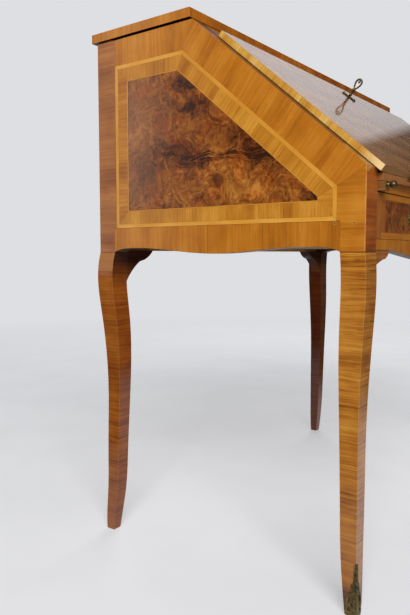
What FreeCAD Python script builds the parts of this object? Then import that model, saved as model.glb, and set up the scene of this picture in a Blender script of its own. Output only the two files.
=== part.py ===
"""Slant-front desk, a parametric assembly in millimetres.

X runs to the right along the front, Y from the front to the back and Z up from the floor.
The origin lies on the floor below the middle of the desk's box. The fall front has a frame
of its own: s runs up the slope from the hinge axis and n points out of the slope.
"""
import FreeCAD, Part
import math
import os

import Sketcher
from FreeCAD import Placement, Rotation, Vector

LEFT, RIGHT = -1, 1
FRONT, BACK = -1, 1
X_AXIS = Vector(1, 0, 0)
Y_AXIS = Vector(0, 1, 0)

SIZES = [
    # carcass
    ("width", 928),
    ("depth", 550),
    ("joint_height", 564),
    ("post", 40),
    ("side_thick", 32),
    ("shadow_tall", 3),
    ("shadow_deep", 2.5),
    # top board
    ("top_deep", 228),
    ("top_thick", 16),
    ("top_side_overhang", 4),
    ("top_back_overhang", 11),
    # slope
    ("slope_rise", 274),
    ("top_rail_wide", 90),
    ("top_rail_thick", 16),
    # legs: how far the outer face stands out or in, and how wide the leg is
    ("knee_out", 4),
    ("knee_below", 39),
    ("calf_in", 1),
    ("calf_below", 124),
    ("calf_width", 38.5),
    ("shin_in", 8.5),
    ("shin_height", 300),
    ("shin_width", 31.6),
    ("shank_in", 7.2),
    ("shank_height", 170),
    ("shank_width", 28.4),
    ("ankle_in", 6.2),
    ("ankle_height", 80),
    ("ankle_width", 25.6),
    ("foot_in", 4.2),
    ("foot_height", 25),
    ("foot_width", 21.6),
    ("toe_in", 4.5),
    ("toe_width", 18.5),
    # sabots
    ("sabot_wall", 1.6),
    ("sabot_tip", 88),
    ("sabot_low", 15),
    # scalloped edges and knee brackets
    ("scallop_rise", 7),
    ("scallop_reach", 35),
    ("scallop_drop", 3),
    ("apron_thick", 20),
    ("apron_drop", 27),
    ("front_bracket_long", 62),
    ("front_bracket_tall", 28),
    ("front_bracket_hollow", 1),
    ("front_bracket_thick", 16),
    ("front_cusp_out", 36),
    ("front_cusp_drop", 15),
    ("back_bracket_long", 76),
    ("back_bracket_tall", 62),
    ("back_bracket_hollow", 5),
    ("back_bracket_thick", 29),
    ("back_cusp_out", 37),
    ("back_cusp_drop", 21),
    ("bracket_lip", 5),
    ("bracket_inset", 2),
    # back
    ("back_rail_tall", 36),
    ("back_rail_thick", 20),
    ("back_panel_thick", 10),
    ("back_inset", 4),
    # drawer deck and rails
    ("floor_rise", 19),
    ("dust_board_thick", 8),
    ("drawer_opening", 72),
    ("rail_tall", 15.5),
    ("rail_deep", 60),
    ("muntin_wide", 20),
    ("guide_tall", 16),
    # writing deck
    ("deck_nose", 10),
    ("deck_thick", 11),
    # fall front
    ("lid_inset", 27),
    ("lid_head_gap", 50),
    ("lid_thick", 11),
    ("lid_seat_gap", 0.3),
    ("lid_foot_gap", 0.4),
    ("leather_thick", 1.2),
    ("leather_side_border", 46),
    ("leather_low_border", 44),
    ("leather_head_border", 127),
    # inlay
    ("inlay_thick", 1.2),
    ("border", 46),
    ("lid_border", 30),
    ("slope_border", 51),
    ("string_wide", 5),
    ("band_wide", 27),
    # hinges
    ("hinge_place", 300),
    ("hinge_wide", 50),
    ("leaf_long", 24),
    ("leaf_thick", 1.6),
    ("knuckle_radius", 2.6),
    ("knuckle_wide", 17.4),
    ("knuckle_gap", 0.3),
    ("hinge_relief", 0.4),
    ("hinge_pin_radius", 1.2),
    ("pin_clearance", 0.05),
    # lock and key
    ("keyhole_below", 49),
    ("case_wide", 70),
    ("case_long", 76),
    ("case_head", 16),
    ("case_deep", 8),
    ("case_wall", 1),
    ("bolt_long", 30),
    ("bolt_wide", 5),
    ("bolt_thick", 3),
    ("bolt_nose", 12),
    ("bolt_above_key", 22),
    ("bolt_guide_wide", 2),
    ("bolt_tip_gap", 1),
    ("staple_thick", 2.4),
    ("staple_wide", 14),
    ("staple_tall", 6),
    ("staple_plate_wide", 34),
    ("staple_plate_thick", 1.5),
    ("eye_clearance", 0.6),
    ("key_radius", 2.6),
    ("key_clearance", 0.4),
    ("key_reach", 19),
    ("bit_long", 8),
    ("bit_tall", 4),
    ("bit_thick", 2),
    ("bow_half_long", 11.5),
    ("bow_half_wide", 8.5),
    ("bow_end_radius", 7),
    ("bow_radius", 1.9),
    ("collar_radius", 4),
    ("collar_tall", 4),
    ("escutcheon_long", 42),
    ("escutcheon_wide", 26),
    ("escutcheon_thick", 1.6),
    # lopers
    ("loper_wide", 17.4),
    ("loper_long", 300),
    ("loper_drawn", 12),
    ("bearer_thick", 7),
    ("bearer_long", 310),
    ("loper_guide_wide", 20),
    ("running_gap", 0.3),
    ("knob_length", 16),
    ("knob_radius", 6),
    ("knob_stem_radius", 3),
    # frieze drawers
    ("drawer_front_thick", 18),
    ("drawer_side_gap", 0.8),
    ("drawer_top_gap", 1.5),
    ("drawer_foot_gap", 0.5),
    ("drawer_long", 400),
    ("drawer_side_thick", 10),
    ("drawer_side_tall", 60),
    ("drawer_bottom_thick", 6),
    ("drawer_bottom_lift", 3),
    # drawer handles
    ("handle_half_wide", 60),
    ("rosette_radius", 11),
    ("rosette_thick", 3),
    ("handle_stem_radius", 3.2),
    ("handle_ball_radius", 5),
    ("handle_standoff", 14),
    ("bail_radius", 2.6),
    ("bail_inside", 9),
    ("bail_drop", 22),
    ("bail_bend", 14),
    ("bail_pin_radius", 1.8),
    # pigeonholes and small drawers
    ("unit_deep", 152),
    ("unit_back_thick", 6),
    ("small_opening", 62.5),
    ("partition_thick", 8),
    ("partition_setback", 8),
    ("niche_half", 140),
    ("pigeonholes", 5),
    ("small_front_thick", 10),
    ("small_back_gap", 14),
    ("small_wall", 6),
    ("small_side_tall", 48),
    ("small_gap", 0.6),
    ("small_knob_length", 15),
    ("small_knob_radius", 5.5),
    ("small_knob_stem_radius", 2.5),
]

doc = FreeCAD.newDocument("slant_front_desk")
dims = doc.addObject("Spreadsheet::Sheet", "dims")
for row, (alias, value) in enumerate(SIZES, start=1):
    dims.set(f"A{row}", alias)
    dims.set(f"B{row}", str(value))
    dims.setAlias(f"B{row}", alias)
doc.recompute()

# Places worked out from the driving sizes, as expressions on the sheet
HALF_WIDTH = "(dims.width / 2)"
POST_INNER = "(dims.width / 2 - dims.post)"
SIDE_INNER = "(dims.width / 2 - dims.side_thick)"
Y_FRONT = "((dims.loper_drawn + dims.knob_length - dims.depth - dims.top_back_overhang) / 2)"
Y_BACK = f"({Y_FRONT} + dims.depth)"
POST_REAR = f"({Y_FRONT} + dims.post)"
BACK_POST_FRONT = f"({Y_BACK} - dims.post)"
BACK_FACE = f"({Y_BACK} - dims.back_inset)"
BACK_PANEL_INNER = f"({BACK_FACE} - dims.back_panel_thick)"
BACK_RAIL_INNER = f"({BACK_FACE} - dims.back_rail_thick)"
DRAWER_FLOOR = "(dims.joint_height + dims.floor_rise)"
RAIL_UNDER = f"({DRAWER_FLOOR} + dims.drawer_opening)"
DECK_UNDER = f"({RAIL_UNDER} + dims.rail_tall)"
DECK_TOP = f"({DECK_UNDER} + dims.deck_thick)"
SLOPE_RUN = "(dims.depth - dims.top_deep)"
SLOPE_LENGTH = f"sqrt(dims.slope_rise ^ 2 + {SLOPE_RUN} ^ 2)"
PITCH = f"(dims.slope_rise / {SLOPE_RUN})"
COS = f"({SLOPE_RUN} / {SLOPE_LENGTH})"
SIN = f"(dims.slope_rise / {SLOPE_LENGTH})"
SLOPE_ANGLE = f"atan({PITCH})"
SLOPE_FOOT = f"({DECK_TOP} + dims.deck_nose * {PITCH})"
TOP_UNDER = f"({SLOPE_FOOT} + dims.slope_rise)"
AXIS_Y = f"({Y_FRONT} - dims.deck_nose)"
LID_LENGTH = f"({SLOPE_LENGTH} + dims.deck_nose / {COS} - dims.lid_head_gap)"
KEYHOLE = f"({LID_LENGTH} - dims.keyhole_below)"
LID_FACE = "(dims.lid_seat_gap + dims.lid_thick)"
LID_HALF = "(dims.width / 2 - dims.lid_inset)"
LOPER_TOP = f"({DECK_TOP} - {LID_FACE} - dims.running_gap)"
LOPER_OUTER = f"({POST_INNER} - dims.running_gap)"
LOPER_INNER = f"({LOPER_OUTER} - dims.loper_wide)"
RAIL_END = f"({LOPER_INNER} - dims.running_gap)"
UNIT_BACK = f"({BACK_POST_FRONT} - dims.unit_back_thick)"
UNIT_FRONT = f"({UNIT_BACK} - dims.unit_deep)"
SHELF_UNDER = f"({DECK_TOP} + dims.small_opening)"
APRON_FOOT = "(dims.joint_height + dims.scallop_drop)"

nodes = []


def number(expression):
    """Value of an expression on the sheet."""
    result = dims.evalExpression(str(expression))
    return float(getattr(result, "Value", result))


def node(label, piece):
    """Give a finished sub-part the name that its file takes."""
    piece.Label = label
    nodes.append(piece)
    return piece


def move(piece, x, y, z):
    """Bind a piece's place to three expressions."""
    for axis, expression in zip("xyz", (x, y, z)):
        piece.setExpression(f"Placement.Base.{axis}", f"{expression}")
    return piece


def lay_on_lid(piece, x, s, n):
    """Place a piece in the fall front's frame: s up the slope from the hinge axis, n out of it."""
    piece.Placement = Placement(Vector(), Rotation(X_AXIS, number(SLOPE_ANGLE)))
    piece.setExpression("Placement.Rotation.Angle", SLOPE_ANGLE)
    along_y = f"{AXIS_Y} + ({s}) * {COS} - ({n}) * {SIN}"
    along_z = f"{DECK_TOP} + ({s}) * {SIN} + ({n}) * {COS}"
    return move(piece, x, along_y, along_z)


def box(name, x, y, z):
    """A box as long, deep and tall as the three pairs of expressions, with no place yet."""
    piece = doc.addObject("Part::Box", name)
    for size, (low, high) in zip(("Length", "Width", "Height"), (x, y, z)):
        piece.setExpression(size, f"({high}) - ({low})")
    return piece


def block(name, x, y, z):
    """A board between pairs of X, Y and Z expressions."""
    return move(box(name, x, y, z), x[0], y[0], z[0])


def lid_block(name, x, s, n):
    """A board between pairs of expressions in the fall front's frame."""
    return lay_on_lid(box(name, x, s, n), x[0], s[0], n[0])


def rod_x(name, radius, x, y, z):
    """A round bar along X between a pair of X expressions."""
    rod = doc.addObject("Part::Cylinder", name)
    rod.setExpression("Radius", f"{radius}")
    rod.setExpression("Height", f"({x[1]}) - ({x[0]})")
    rod.Placement = Placement(Vector(), Rotation(Y_AXIS, 90))
    return move(rod, x[0], y, z)


def lid_rod(name, radius, x, s, n):
    """A round bar square to the fall front, between a pair of n expressions."""
    rod = doc.addObject("Part::Cylinder", name)
    rod.setExpression("Radius", f"{radius}")
    rod.setExpression("Height", f"({n[1]}) - ({n[0]})")
    return lay_on_lid(rod, x, s, n[0])


def both(half):
    """The pair of expressions from minus to plus a half width."""
    return (f"-({half})", f"{half}")


def on_side(side, inner, outer):
    """The pair of X expressions between two distances from the middle, on one side."""
    if side == LEFT:
        return (f"-({outer})", f"-({inner})")
    return (f"{inner}", f"{outer}")


def fuse(name, pieces):
    """Join touching solids into one."""
    joined = doc.addObject("Part::MultiFuse", name)
    joined.Shapes = pieces
    joined.Refine = True
    return joined


def cut(name, base, *tools):
    """Take the tools away from a base."""
    result = doc.addObject("Part::Cut", name)
    result.Base = base
    result.Tool = tools[0] if len(tools) == 1 else fuse(name + "_tools", list(tools))
    return result


def group(name, pieces):
    """Like solids that share one node."""
    together = doc.addObject("Part::Compound", name)
    together.Links = pieces
    return together


def outline(body, name, role, steps):
    """A closed sketch on an origin plane of the body, with each corner bound to its expressions.

    A step is a line to a corner, an arc through one point to a corner, or a curve through
    several points to a corner. The first step starts from the last corner.
    """
    sketch = body.newObject("Sketcher::SketchObject", name)
    plane = next(feature for feature in body.Origin.OriginFeatures if feature.Role == role)
    sketch.AttachmentSupport = [(plane, "")]
    sketch.MapMode = "FlatFace"
    placed = [[Vector(number(u), number(v), 0) for u, v in step[1:]] for step in steps]
    corners = [points[-1] for points in placed]
    for index, (step, points) in enumerate(zip(steps, placed)):
        start = corners[index - 1]
        if step[0] == "line":
            sketch.addGeometry(Part.LineSegment(start, points[-1]))
        elif step[0] == "arc":
            sketch.addGeometry(Part.Arc(start, points[0], points[-1]))
        else:
            curve = Part.BSplineCurve()
            curve.interpolate([start] + points)
            sketch.addGeometry(curve)

    def end_at(geometry, corner):
        return min((1, 2), key=lambda end: sketch.getPoint(geometry, end).distanceToPoint(corner))

    for index, (step, corner) in enumerate(zip(steps, corners)):
        following = (index + 1) % len(steps)
        end = end_at(index, corner)
        start = end_at(following, corner)
        sketch.addConstraint(Sketcher.Constraint("Coincident", index, end, following, start))
        for kind, value, expression in zip(("DistanceX", "DistanceY"), corner, step[-1]):
            bound = sketch.addConstraint(Sketcher.Constraint(kind, -1, 1, index, end, value))
            sketch.setExpression(f"Constraints[{bound}]", f"{expression}")
    return sketch


def polygon(*corners):
    """Outline steps with straight edges."""
    return [("line", corner) for corner in corners]


def padded(name, role, steps, length):
    """A body padded from one outline: along +X from the YZ plane, along -Y from the XZ plane."""
    body = doc.addObject("PartDesign::Body", name)
    sketch = outline(body, name + "_outline", role, steps)
    pad = body.newObject("PartDesign::Pad", name + "_pad")
    pad.Profile = sketch
    pad.setExpression("Length", f"{length}")
    return body


def turned(name, steps):
    """A body turned about its own Z axis from an outline of radius and height."""
    body = doc.addObject("PartDesign::Body", name)
    sketch = outline(body, name + "_outline", "XZ_Plane", steps)
    turning = body.newObject("PartDesign::Revolution", name + "_turning")
    turning.Profile = sketch
    turning.ReferenceAxis = (sketch, ["V_Axis"])
    turning.Angle = 360
    return body


def face_forward(piece, x, y, z):
    """Place a turned piece so that its own Z axis points to the front."""
    piece.Placement = Placement(Vector(), Rotation(X_AXIS, 90))
    return move(piece, x, y, z)


# Legs and sabots


def leg_outline(place, swell, outer_top, inner_top):
    """Face of a leg with its post in a plane, where place puts (u out from the post, v up)."""
    post = number("dims.post")
    joint = number("dims.joint_height")
    stations = [
        (0, joint, post),
        (number("dims.knee_out"), joint - number("dims.knee_below"), post),
        (-number("dims.calf_in"), joint - number("dims.calf_below"), number("dims.calf_width")),
    ]
    for name in ("shin", "shank", "ankle", "foot"):
        inset, height, width = (number(f"dims.{name}_{size}") for size in ("in", "height", "width"))
        stations.append((-inset, height, width))
    stations.append((-number("dims.toe_in"), 0, number("dims.toe_width")))
    outer = [place(u + swell, v) for u, v, wide in stations]
    inner = [place(u - wide - swell, v) for u, v, wide in reversed(stations)]
    outer_curve = Part.BSplineCurve()
    outer_curve.interpolate(outer)
    inner_curve = Part.BSplineCurve()
    inner_curve.interpolate(inner)
    outer_head = place(swell, outer_top)
    inner_head = place(-post - swell, inner_top)
    edges = [
        Part.makeLine(outer_head, outer[0]),
        outer_curve.toShape(),
        Part.makeLine(outer[-1], inner[0]),
        inner_curve.toShape(),
        Part.makeLine(inner[-1], inner_head),
        Part.makeLine(inner_head, outer_head),
    ]
    return Part.Face(Part.Wire(edges))


def corner_prisms(side, end, face_across, face_along):
    """Sweep one face along Y and one along X, past the whole leg, and keep what they share."""
    reach = number("2 * dims.post")
    corner_x = side * number(HALF_WIDTH)
    corner_y = number(Y_FRONT if end == FRONT else Y_BACK)
    across = face_across(lambda u, v: Vector(corner_x + side * u, corner_y - reach, v))
    along = face_along(lambda u, v: Vector(corner_x - reach, corner_y + end * u, v))
    solid = across.extrude(Vector(0, 2 * reach, 0))
    return solid.common(along.extrude(Vector(2 * reach, 0, 0)))


def leg_solid(side, end, swell=0.0):
    """A square cabriole leg, sawn to the same curve from two sides, with its corner post."""
    head = number(TOP_UNDER)
    outer_top = head
    inner_top = head
    if end == FRONT:
        outer_top = number(SLOPE_FOOT)
        inner_top = number(f"{SLOPE_FOOT} + dims.post * {PITCH}")
    return corner_prisms(
        side,
        end,
        lambda place: leg_outline(place, swell, head, head),
        lambda place: leg_outline(place, swell, outer_top, inner_top),
    )


def sabot_solid(side):
    """A shoe round a front foot, which rises to a leaf tip on the leg's outer arris."""
    wall = number("dims.sabot_wall")
    inner = -number("dims.post")
    tip = number("dims.sabot_tip")
    low = number("dims.sabot_low")

    def wedge(place):
        corners = [place(wall, 0), place(wall, tip), place(inner, low), place(inner, 0)]
        return Part.Face(Part.makePolygon(corners + corners[:1]))

    shoe = leg_solid(side, FRONT, wall).common(corner_prisms(side, FRONT, wedge, wedge))
    return shoe.cut(leg_solid(side, FRONT))


def feature(name, shape):
    """A document object for a shape that is worked out in code."""
    piece = doc.addObject("Part::Feature", name)
    piece.Shape = shape
    piece.Placement = Placement()
    return piece


def shadow_groove(name, side):
    """The narrow recess below the top board along one side."""
    return block(
        name,
        on_side(side, f"{HALF_WIDTH} - dims.shadow_deep", f"{HALF_WIDTH}"),
        (Y_FRONT, Y_BACK),
        (f"{TOP_UNDER} - dims.shadow_tall", TOP_UNDER),
    )


def make_legs():
    legs = {}
    for side, hand in ((LEFT, "left"), (RIGHT, "right")):
        front = feature(f"front_leg_{hand}", leg_solid(side, FRONT))
        legs[FRONT, side] = node(f"leg_front_{hand}", front)
        whole = feature(f"back_leg_{hand}_whole", leg_solid(side, BACK))
        back = cut(f"back_leg_{hand}", whole, shadow_groove(f"back_leg_{hand}_groove", side))
        legs[BACK, side] = node(f"leg_back_{hand}", back)
    shoes = [feature(f"sabot_{side}", sabot_solid(side)) for side in (LEFT, RIGHT)]
    node("front_sabots", group("sabots", shoes))
    return legs


# Sides with their inlay


def inlay_corners(inset):
    """Corners of a side's inlay, clockwise from the low front one; inset counts inwards from the border."""
    front = f"({Y_FRONT} + dims.border + {inset})"
    back = f"({Y_BACK} - dims.border - {inset})"
    low = f"(dims.joint_height + dims.border + {inset})"
    high = f"({TOP_UNDER} - dims.slope_border - {inset})"
    drop = f"((dims.slope_border + {inset}) / {COS})"
    slope_low = f"({SLOPE_FOOT} + ({front} - {Y_FRONT}) * {PITCH} - {drop})"
    slope_high = f"({Y_FRONT} + ({high} - {SLOPE_FOOT} + {drop}) / {PITCH})"
    return [(front, low), (front, slope_low), (slope_high, high), (back, high), (back, low)]


def inlay_plate(name, side, inset):
    """A thin plate in the outer face of one side."""
    plate = padded(name, "YZ_Plane", polygon(*inlay_corners(inset)), "dims.inlay_thick")
    left_face = f"-{HALF_WIDTH}"
    right_face = f"{HALF_WIDTH} - dims.inlay_thick"
    return move(plate, left_face if side == LEFT else right_face, "0", "0")


def side_outline():
    """A side between its posts, with a sloping front edge and a scalloped foot."""
    front, back = POST_REAR, BACK_POST_FRONT
    middle = f"(({Y_FRONT} + {Y_BACK}) / 2)"
    foot = "dims.joint_height"
    crest = "(dims.joint_height + dims.scallop_rise)"
    shoulder = "(dims.joint_height + dims.scallop_rise * 0.75)"
    return [
        ("line", (front, foot)),
        (
            "curve",
            (f"{front} + dims.scallop_reach / 2", shoulder),
            (f"{front} + dims.scallop_reach", crest),
            (middle, "dims.joint_height - dims.scallop_drop"),
            (f"{back} - dims.scallop_reach", crest),
            (f"{back} - dims.scallop_reach / 2", shoulder),
            (back, foot),
        ),
        ("line", (back, TOP_UNDER)),
        ("line", (f"{Y_FRONT} + {SLOPE_RUN}", TOP_UNDER)),
        ("line", (front, f"{SLOPE_FOOT} + dims.post * {PITCH}")),
    ]


def make_side(side, hand):
    board = padded(f"side_{hand}_board", "YZ_Plane", side_outline(), "dims.side_thick")
    move(board, f"-{HALF_WIDTH}" if side == LEFT else SIDE_INNER, "0", "0")
    string_outer = inlay_plate(f"string_{hand}_outer", side, "0")
    string_inner = inlay_plate(f"string_{hand}_inner", side, "dims.string_wide")
    string = node(f"side_stringing_{hand}", cut(f"string_{hand}", string_outer, string_inner))
    burl_inset = "(dims.string_wide + dims.band_wide)"
    burl = node(f"side_burl_{hand}", inlay_plate(f"burl_{hand}", side, burl_inset))
    groove = shadow_groove(f"side_{hand}_groove", side)
    node(f"side_panel_{hand}", cut(f"side_{hand}", board, string, burl, groove))


# Top, slanted rail and back


def make_top():
    half = f"{HALF_WIDTH} + dims.top_side_overhang"
    depth = (f"{Y_FRONT} + {SLOPE_RUN}", f"{Y_BACK} + dims.top_back_overhang")
    height = (TOP_UNDER, f"{TOP_UNDER} + dims.top_thick")
    node("top_board", block("top", both(half), depth, height))


def make_slope_rail():
    """The fixed rail below the top board, whose face lies in the slope between the sides."""
    head = TOP_UNDER
    low = f"({SLOPE_LENGTH} - dims.top_rail_wide)"
    face_low = (f"{Y_FRONT} + {low} * {COS}", f"{SLOPE_FOOT} + {low} * {SIN}")
    rear_low = (
        f"{Y_FRONT} + {low} * {COS} + dims.top_rail_thick * {SIN}",
        f"{SLOPE_FOOT} + {low} * {SIN} - dims.top_rail_thick * {COS}",
    )
    rear_high = (f"{Y_FRONT} + {SLOPE_RUN} + dims.top_rail_thick / {SIN}", head)
    groove_top = (f"{Y_FRONT} + {SLOPE_RUN} + dims.shadow_deep", head)
    groove_foot = (groove_top[0], f"{head} - dims.shadow_tall")
    face_high = (f"{Y_FRONT} + {SLOPE_RUN} - dims.shadow_tall / {PITCH}", groove_foot[1])
    steps = polygon(face_low, face_high, groove_foot, groove_top, rear_high, rear_low)
    rail = padded("slope_rail_board", "YZ_Plane", steps, f"2 * {SIDE_INNER}")
    move(rail, f"-{SIDE_INNER}", "0", "0")
    plate = staple_plate("slope_rail_recess")
    node("slope_rail", cut("slope_rail_cut", rail, plate))


def make_back(legs):
    rail_foot = APRON_FOOT
    rail_head = f"({rail_foot} + dims.back_rail_tall)"
    rail_depth = (BACK_RAIL_INNER, BACK_FACE)
    node("back_rail", block("back_rail_board", both(POST_INNER), rail_depth, (rail_foot, rail_head)))
    panel_depth = (BACK_PANEL_INNER, BACK_FACE)
    panel_height = (rail_head, TOP_UNDER)
    node("back_panel", block("back_board", both(POST_INNER), panel_depth, panel_height))
    brackets = knee_brackets("back", f"{BACK_FACE} - dims.bracket_inset", legs)
    node("back_knee_brackets", group("back_brackets", brackets))


def bracket_steps(end_name, sign):
    """Outline of a bracket: a rounded lip at its far end, a cusp, and a hollow down to the leg."""
    long, tall = f"dims.{end_name}_bracket_long", f"dims.{end_name}_bracket_tall"
    out, drop = f"dims.{end_name}_cusp_out", f"dims.{end_name}_cusp_drop"
    hollow = f"dims.{end_name}_bracket_hollow"

    def place(from_post, below):
        return (f"{sign} * ({POST_INNER} - {from_post})", f"{APRON_FOOT} - {below}")

    root = "(-dims.knee_out)"
    return [
        ("line", place(root, "0")),
        ("line", place(long, "0")),
        ("arc", place(f"({long} + {out}) / 2", f"({drop} / 2 + dims.bracket_lip)"), place(out, drop)),
        ("arc", place(f"({out} + {root}) / 2", f"(({drop} + {tall}) / 2 - {hollow})"), place(root, tall)),
    ]


def knee_brackets(end_name, rear_y, legs):
    """A pair of curved brackets below a rail, each fitted to the leg beside it."""
    end = FRONT if end_name == "front" else BACK
    pair = []
    for side, hand in ((LEFT, "left"), (RIGHT, "right")):
        name = f"{end_name}_bracket_{hand}"
        steps = bracket_steps(end_name, side)
        board = padded(f"{name}_board", "XZ_Plane", steps, f"dims.{end_name}_bracket_thick")
        pair.append(cut(name, move(board, "0", rear_y, "0"), legs[end, side]))
    return pair


# Front: apron, rail, muntin, dust board and deck


def make_apron(legs):
    """The front apron, level beside the legs and dipping to the middle."""
    level = f"({POST_INNER} - dims.front_bracket_long)"
    turn = f"{level} * 0.72"
    lowest = f"({APRON_FOOT} - dims.apron_drop)"
    steep = f"{APRON_FOOT} - dims.apron_drop * 0.42"
    steps = [
        ("line", (f"-{POST_INNER}", DRAWER_FLOOR)),
        ("line", (f"-{POST_INNER}", APRON_FOOT)),
        ("line", (f"-{level}", APRON_FOOT)),
        ("curve", (f"-{turn}", steep), ("0", lowest), (turn, steep), (level, APRON_FOOT)),
        ("line", (POST_INNER, APRON_FOOT)),
        ("line", (POST_INNER, DRAWER_FLOOR)),
    ]
    apron = padded("apron_board", "XZ_Plane", steps, "dims.apron_thick")
    node("front_apron", move(apron, "0", f"{Y_FRONT} + dims.apron_thick", "0"))
    rear = f"{Y_FRONT} + dims.bracket_inset + dims.front_bracket_thick"
    node("front_knee_brackets", group("front_brackets", knee_brackets("front", rear, legs)))


def make_front_frame():
    rail_height = (RAIL_UNDER, DECK_UNDER)
    rail_depth = (Y_FRONT, f"{Y_FRONT} + dims.rail_deep")
    node("front_rail", block("front_rail_board", both(RAIL_END), rail_depth, rail_height))
    half = "dims.muntin_wide / 2"
    muntin_rear = f"({Y_FRONT} + dims.apron_thick)"
    muntin_height = (DRAWER_FLOOR, RAIL_UNDER)
    node("drawer_muntin", block("muntin", both(half), (Y_FRONT, muntin_rear), muntin_height))
    guide_height = (DRAWER_FLOOR, f"{DRAWER_FLOOR} + dims.guide_tall")
    inner_depth = (muntin_rear, BACK_RAIL_INNER)
    dust_height = (f"{DRAWER_FLOOR} - dims.dust_board_thick", DRAWER_FLOOR)
    node("dust_board", block("dust", both(POST_INNER), inner_depth, dust_height))
    guides = [block("middle_guide", both(half), inner_depth, guide_height)]
    outer_depth = (POST_REAR, BACK_POST_FRONT)
    outer_height = (dust_height[0], guide_height[1])
    for side in (LEFT, RIGHT):
        wide = on_side(side, POST_INNER, SIDE_INNER)
        guides.append(block(f"outer_drawer_guide_{side}", wide, outer_depth, outer_height))
    node("drawer_guides", group("guides", guides))


def make_loper_runners():
    """For each loper a bearer below it and a guide on either side, all under the writing deck."""
    pieces = []
    start = f"({Y_FRONT} + dims.apron_thick)"
    end = f"({start} + dims.bearer_long)"
    guide_inner = f"({RAIL_END} - dims.loper_guide_wide)"
    bearer_foot = f"{RAIL_UNDER} - dims.bearer_thick"
    guide_height = (RAIL_UNDER, DECK_UNDER)
    for side in (LEFT, RIGHT):
        wide = on_side(side, guide_inner, POST_INNER)
        bearer_height = (bearer_foot, RAIL_UNDER)
        pieces.append(block(f"bearer_{side}", wide, (start, end), bearer_height))
        inner = on_side(side, guide_inner, RAIL_END)
        inner_depth = (f"{Y_FRONT} + dims.rail_deep", end)
        pieces.append(block(f"inner_guide_{side}", inner, inner_depth, guide_height))
        outer = on_side(side, POST_INNER, SIDE_INNER)
        outer_height = (bearer_foot, DECK_UNDER)
        pieces.append(block(f"outer_guide_{side}", outer, (POST_REAR, end), outer_height))
    node("loper_runners", group("runners", pieces))


def make_deck():
    """The writing deck, narrow between the posts, with the hinge leaves let into its front edge."""
    height = (DECK_UNDER, DECK_TOP)
    parts = [
        block("deck_nosing", both(POST_INNER), (f"{AXIS_Y} + dims.lid_foot_gap", POST_REAR), height),
        block("deck_middle", both(SIDE_INNER), (POST_REAR, BACK_POST_FRONT), height),
        block("deck_rear", both(POST_INNER), (BACK_POST_FRONT, BACK_PANEL_INNER), height),
    ]
    relief = "(dims.knuckle_radius + dims.hinge_relief)"
    tools = []
    for side in (LEFT, RIGHT):
        wide = hinge_span(side)
        edge = (AXIS_Y, f"{AXIS_Y} + {relief}")
        tools.append(block(f"deck_knuckle_{side}", wide, edge, (f"{DECK_TOP} - {relief}", DECK_TOP)))
        leaf = (AXIS_Y, f"{AXIS_Y} + dims.leaf_long")
        tools.append(block(f"deck_leaf_{side}", wide, leaf, (f"{DECK_TOP} - dims.leaf_thick", DECK_TOP)))
    node("writing_deck", cut("deck", fuse("deck_boards", parts), *tools))


# Hinges


def hinge_span(side):
    """The X expressions that a hinge lies between."""
    return (
        f"{side} * dims.hinge_place - dims.hinge_wide / 2",
        f"{side} * dims.hinge_place + dims.hinge_wide / 2",
    )


def make_hinges():
    """Two butt hinges: the lid leaf has the middle knuckle, the deck leaf the outer two and the pin."""
    bore = "dims.hinge_pin_radius + dims.pin_clearance"
    radius = "dims.knuckle_radius"
    relief = "(dims.knuckle_radius + dims.hinge_relief)"
    lid_leaves, deck_leaves, pins = [], [], []
    for side in (LEFT, RIGHT):
        wide = hinge_span(side)
        middle = f"({side} * dims.hinge_place)"
        inner = (f"{middle} - dims.knuckle_wide / 2", f"{middle} + dims.knuckle_wide / 2")
        gap_low = f"{inner[0]} - dims.knuckle_gap"
        gap_high = f"{inner[1]} + dims.knuckle_gap"
        hole = rod_x(f"hinge_bore_{side}", bore, wide, AXIS_Y, DECK_TOP)
        seat = ("dims.lid_seat_gap", "dims.lid_seat_gap + dims.leaf_thick")
        lid_leaf = fuse(f"lid_leaf_{side}_whole", [
            lid_block(f"lid_leaf_{side}_plate", wide, (relief, "dims.leaf_long"), seat),
            lid_block(f"lid_leaf_{side}_neck", inner, ("0", relief), seat),
            rod_x(f"lid_knuckle_{side}", radius, inner, AXIS_Y, DECK_TOP),
        ])
        lid_leaves.append(cut(f"lid_leaf_{side}", lid_leaf, hole))
        height = (f"{DECK_TOP} - dims.leaf_thick", DECK_TOP)
        plate_depth = (f"{AXIS_Y} + {relief}", f"{AXIS_Y} + dims.leaf_long")
        neck_depth = (AXIS_Y, f"{AXIS_Y} + {relief}")
        parts = [block(f"deck_leaf_{side}_plate", wide, plate_depth, height)]
        for end, span in (("low", (wide[0], gap_low)), ("high", (gap_high, wide[1]))):
            parts.append(block(f"deck_leaf_{side}_{end}_neck", span, neck_depth, height))
            parts.append(rod_x(f"deck_knuckle_{side}_{end}", radius, span, AXIS_Y, DECK_TOP))
        deck_leaves.append(cut(f"deck_leaf_{side}_bored", fuse(f"deck_leaf_{side}_whole", parts), hole))
        pins.append(rod_x(f"hinge_pin_{side}", "dims.hinge_pin_radius", wide, AXIS_Y, DECK_TOP))
    node("hinge_leaves_lid", group("lid_leaves", lid_leaves))
    node("hinge_leaves_deck", group("deck_leaves", deck_leaves))
    node("hinge_pins", group("pins", pins))


# Fall front with its inlay and leather


def lid_frame(name, inset, n):
    """A board as large as the fall front less an inset all round."""
    wide = both(f"({LID_HALF} - {inset})")
    return lid_block(name, wide, (f"dims.lid_foot_gap + {inset}", f"{LID_LENGTH} - {inset}"), n)


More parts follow.
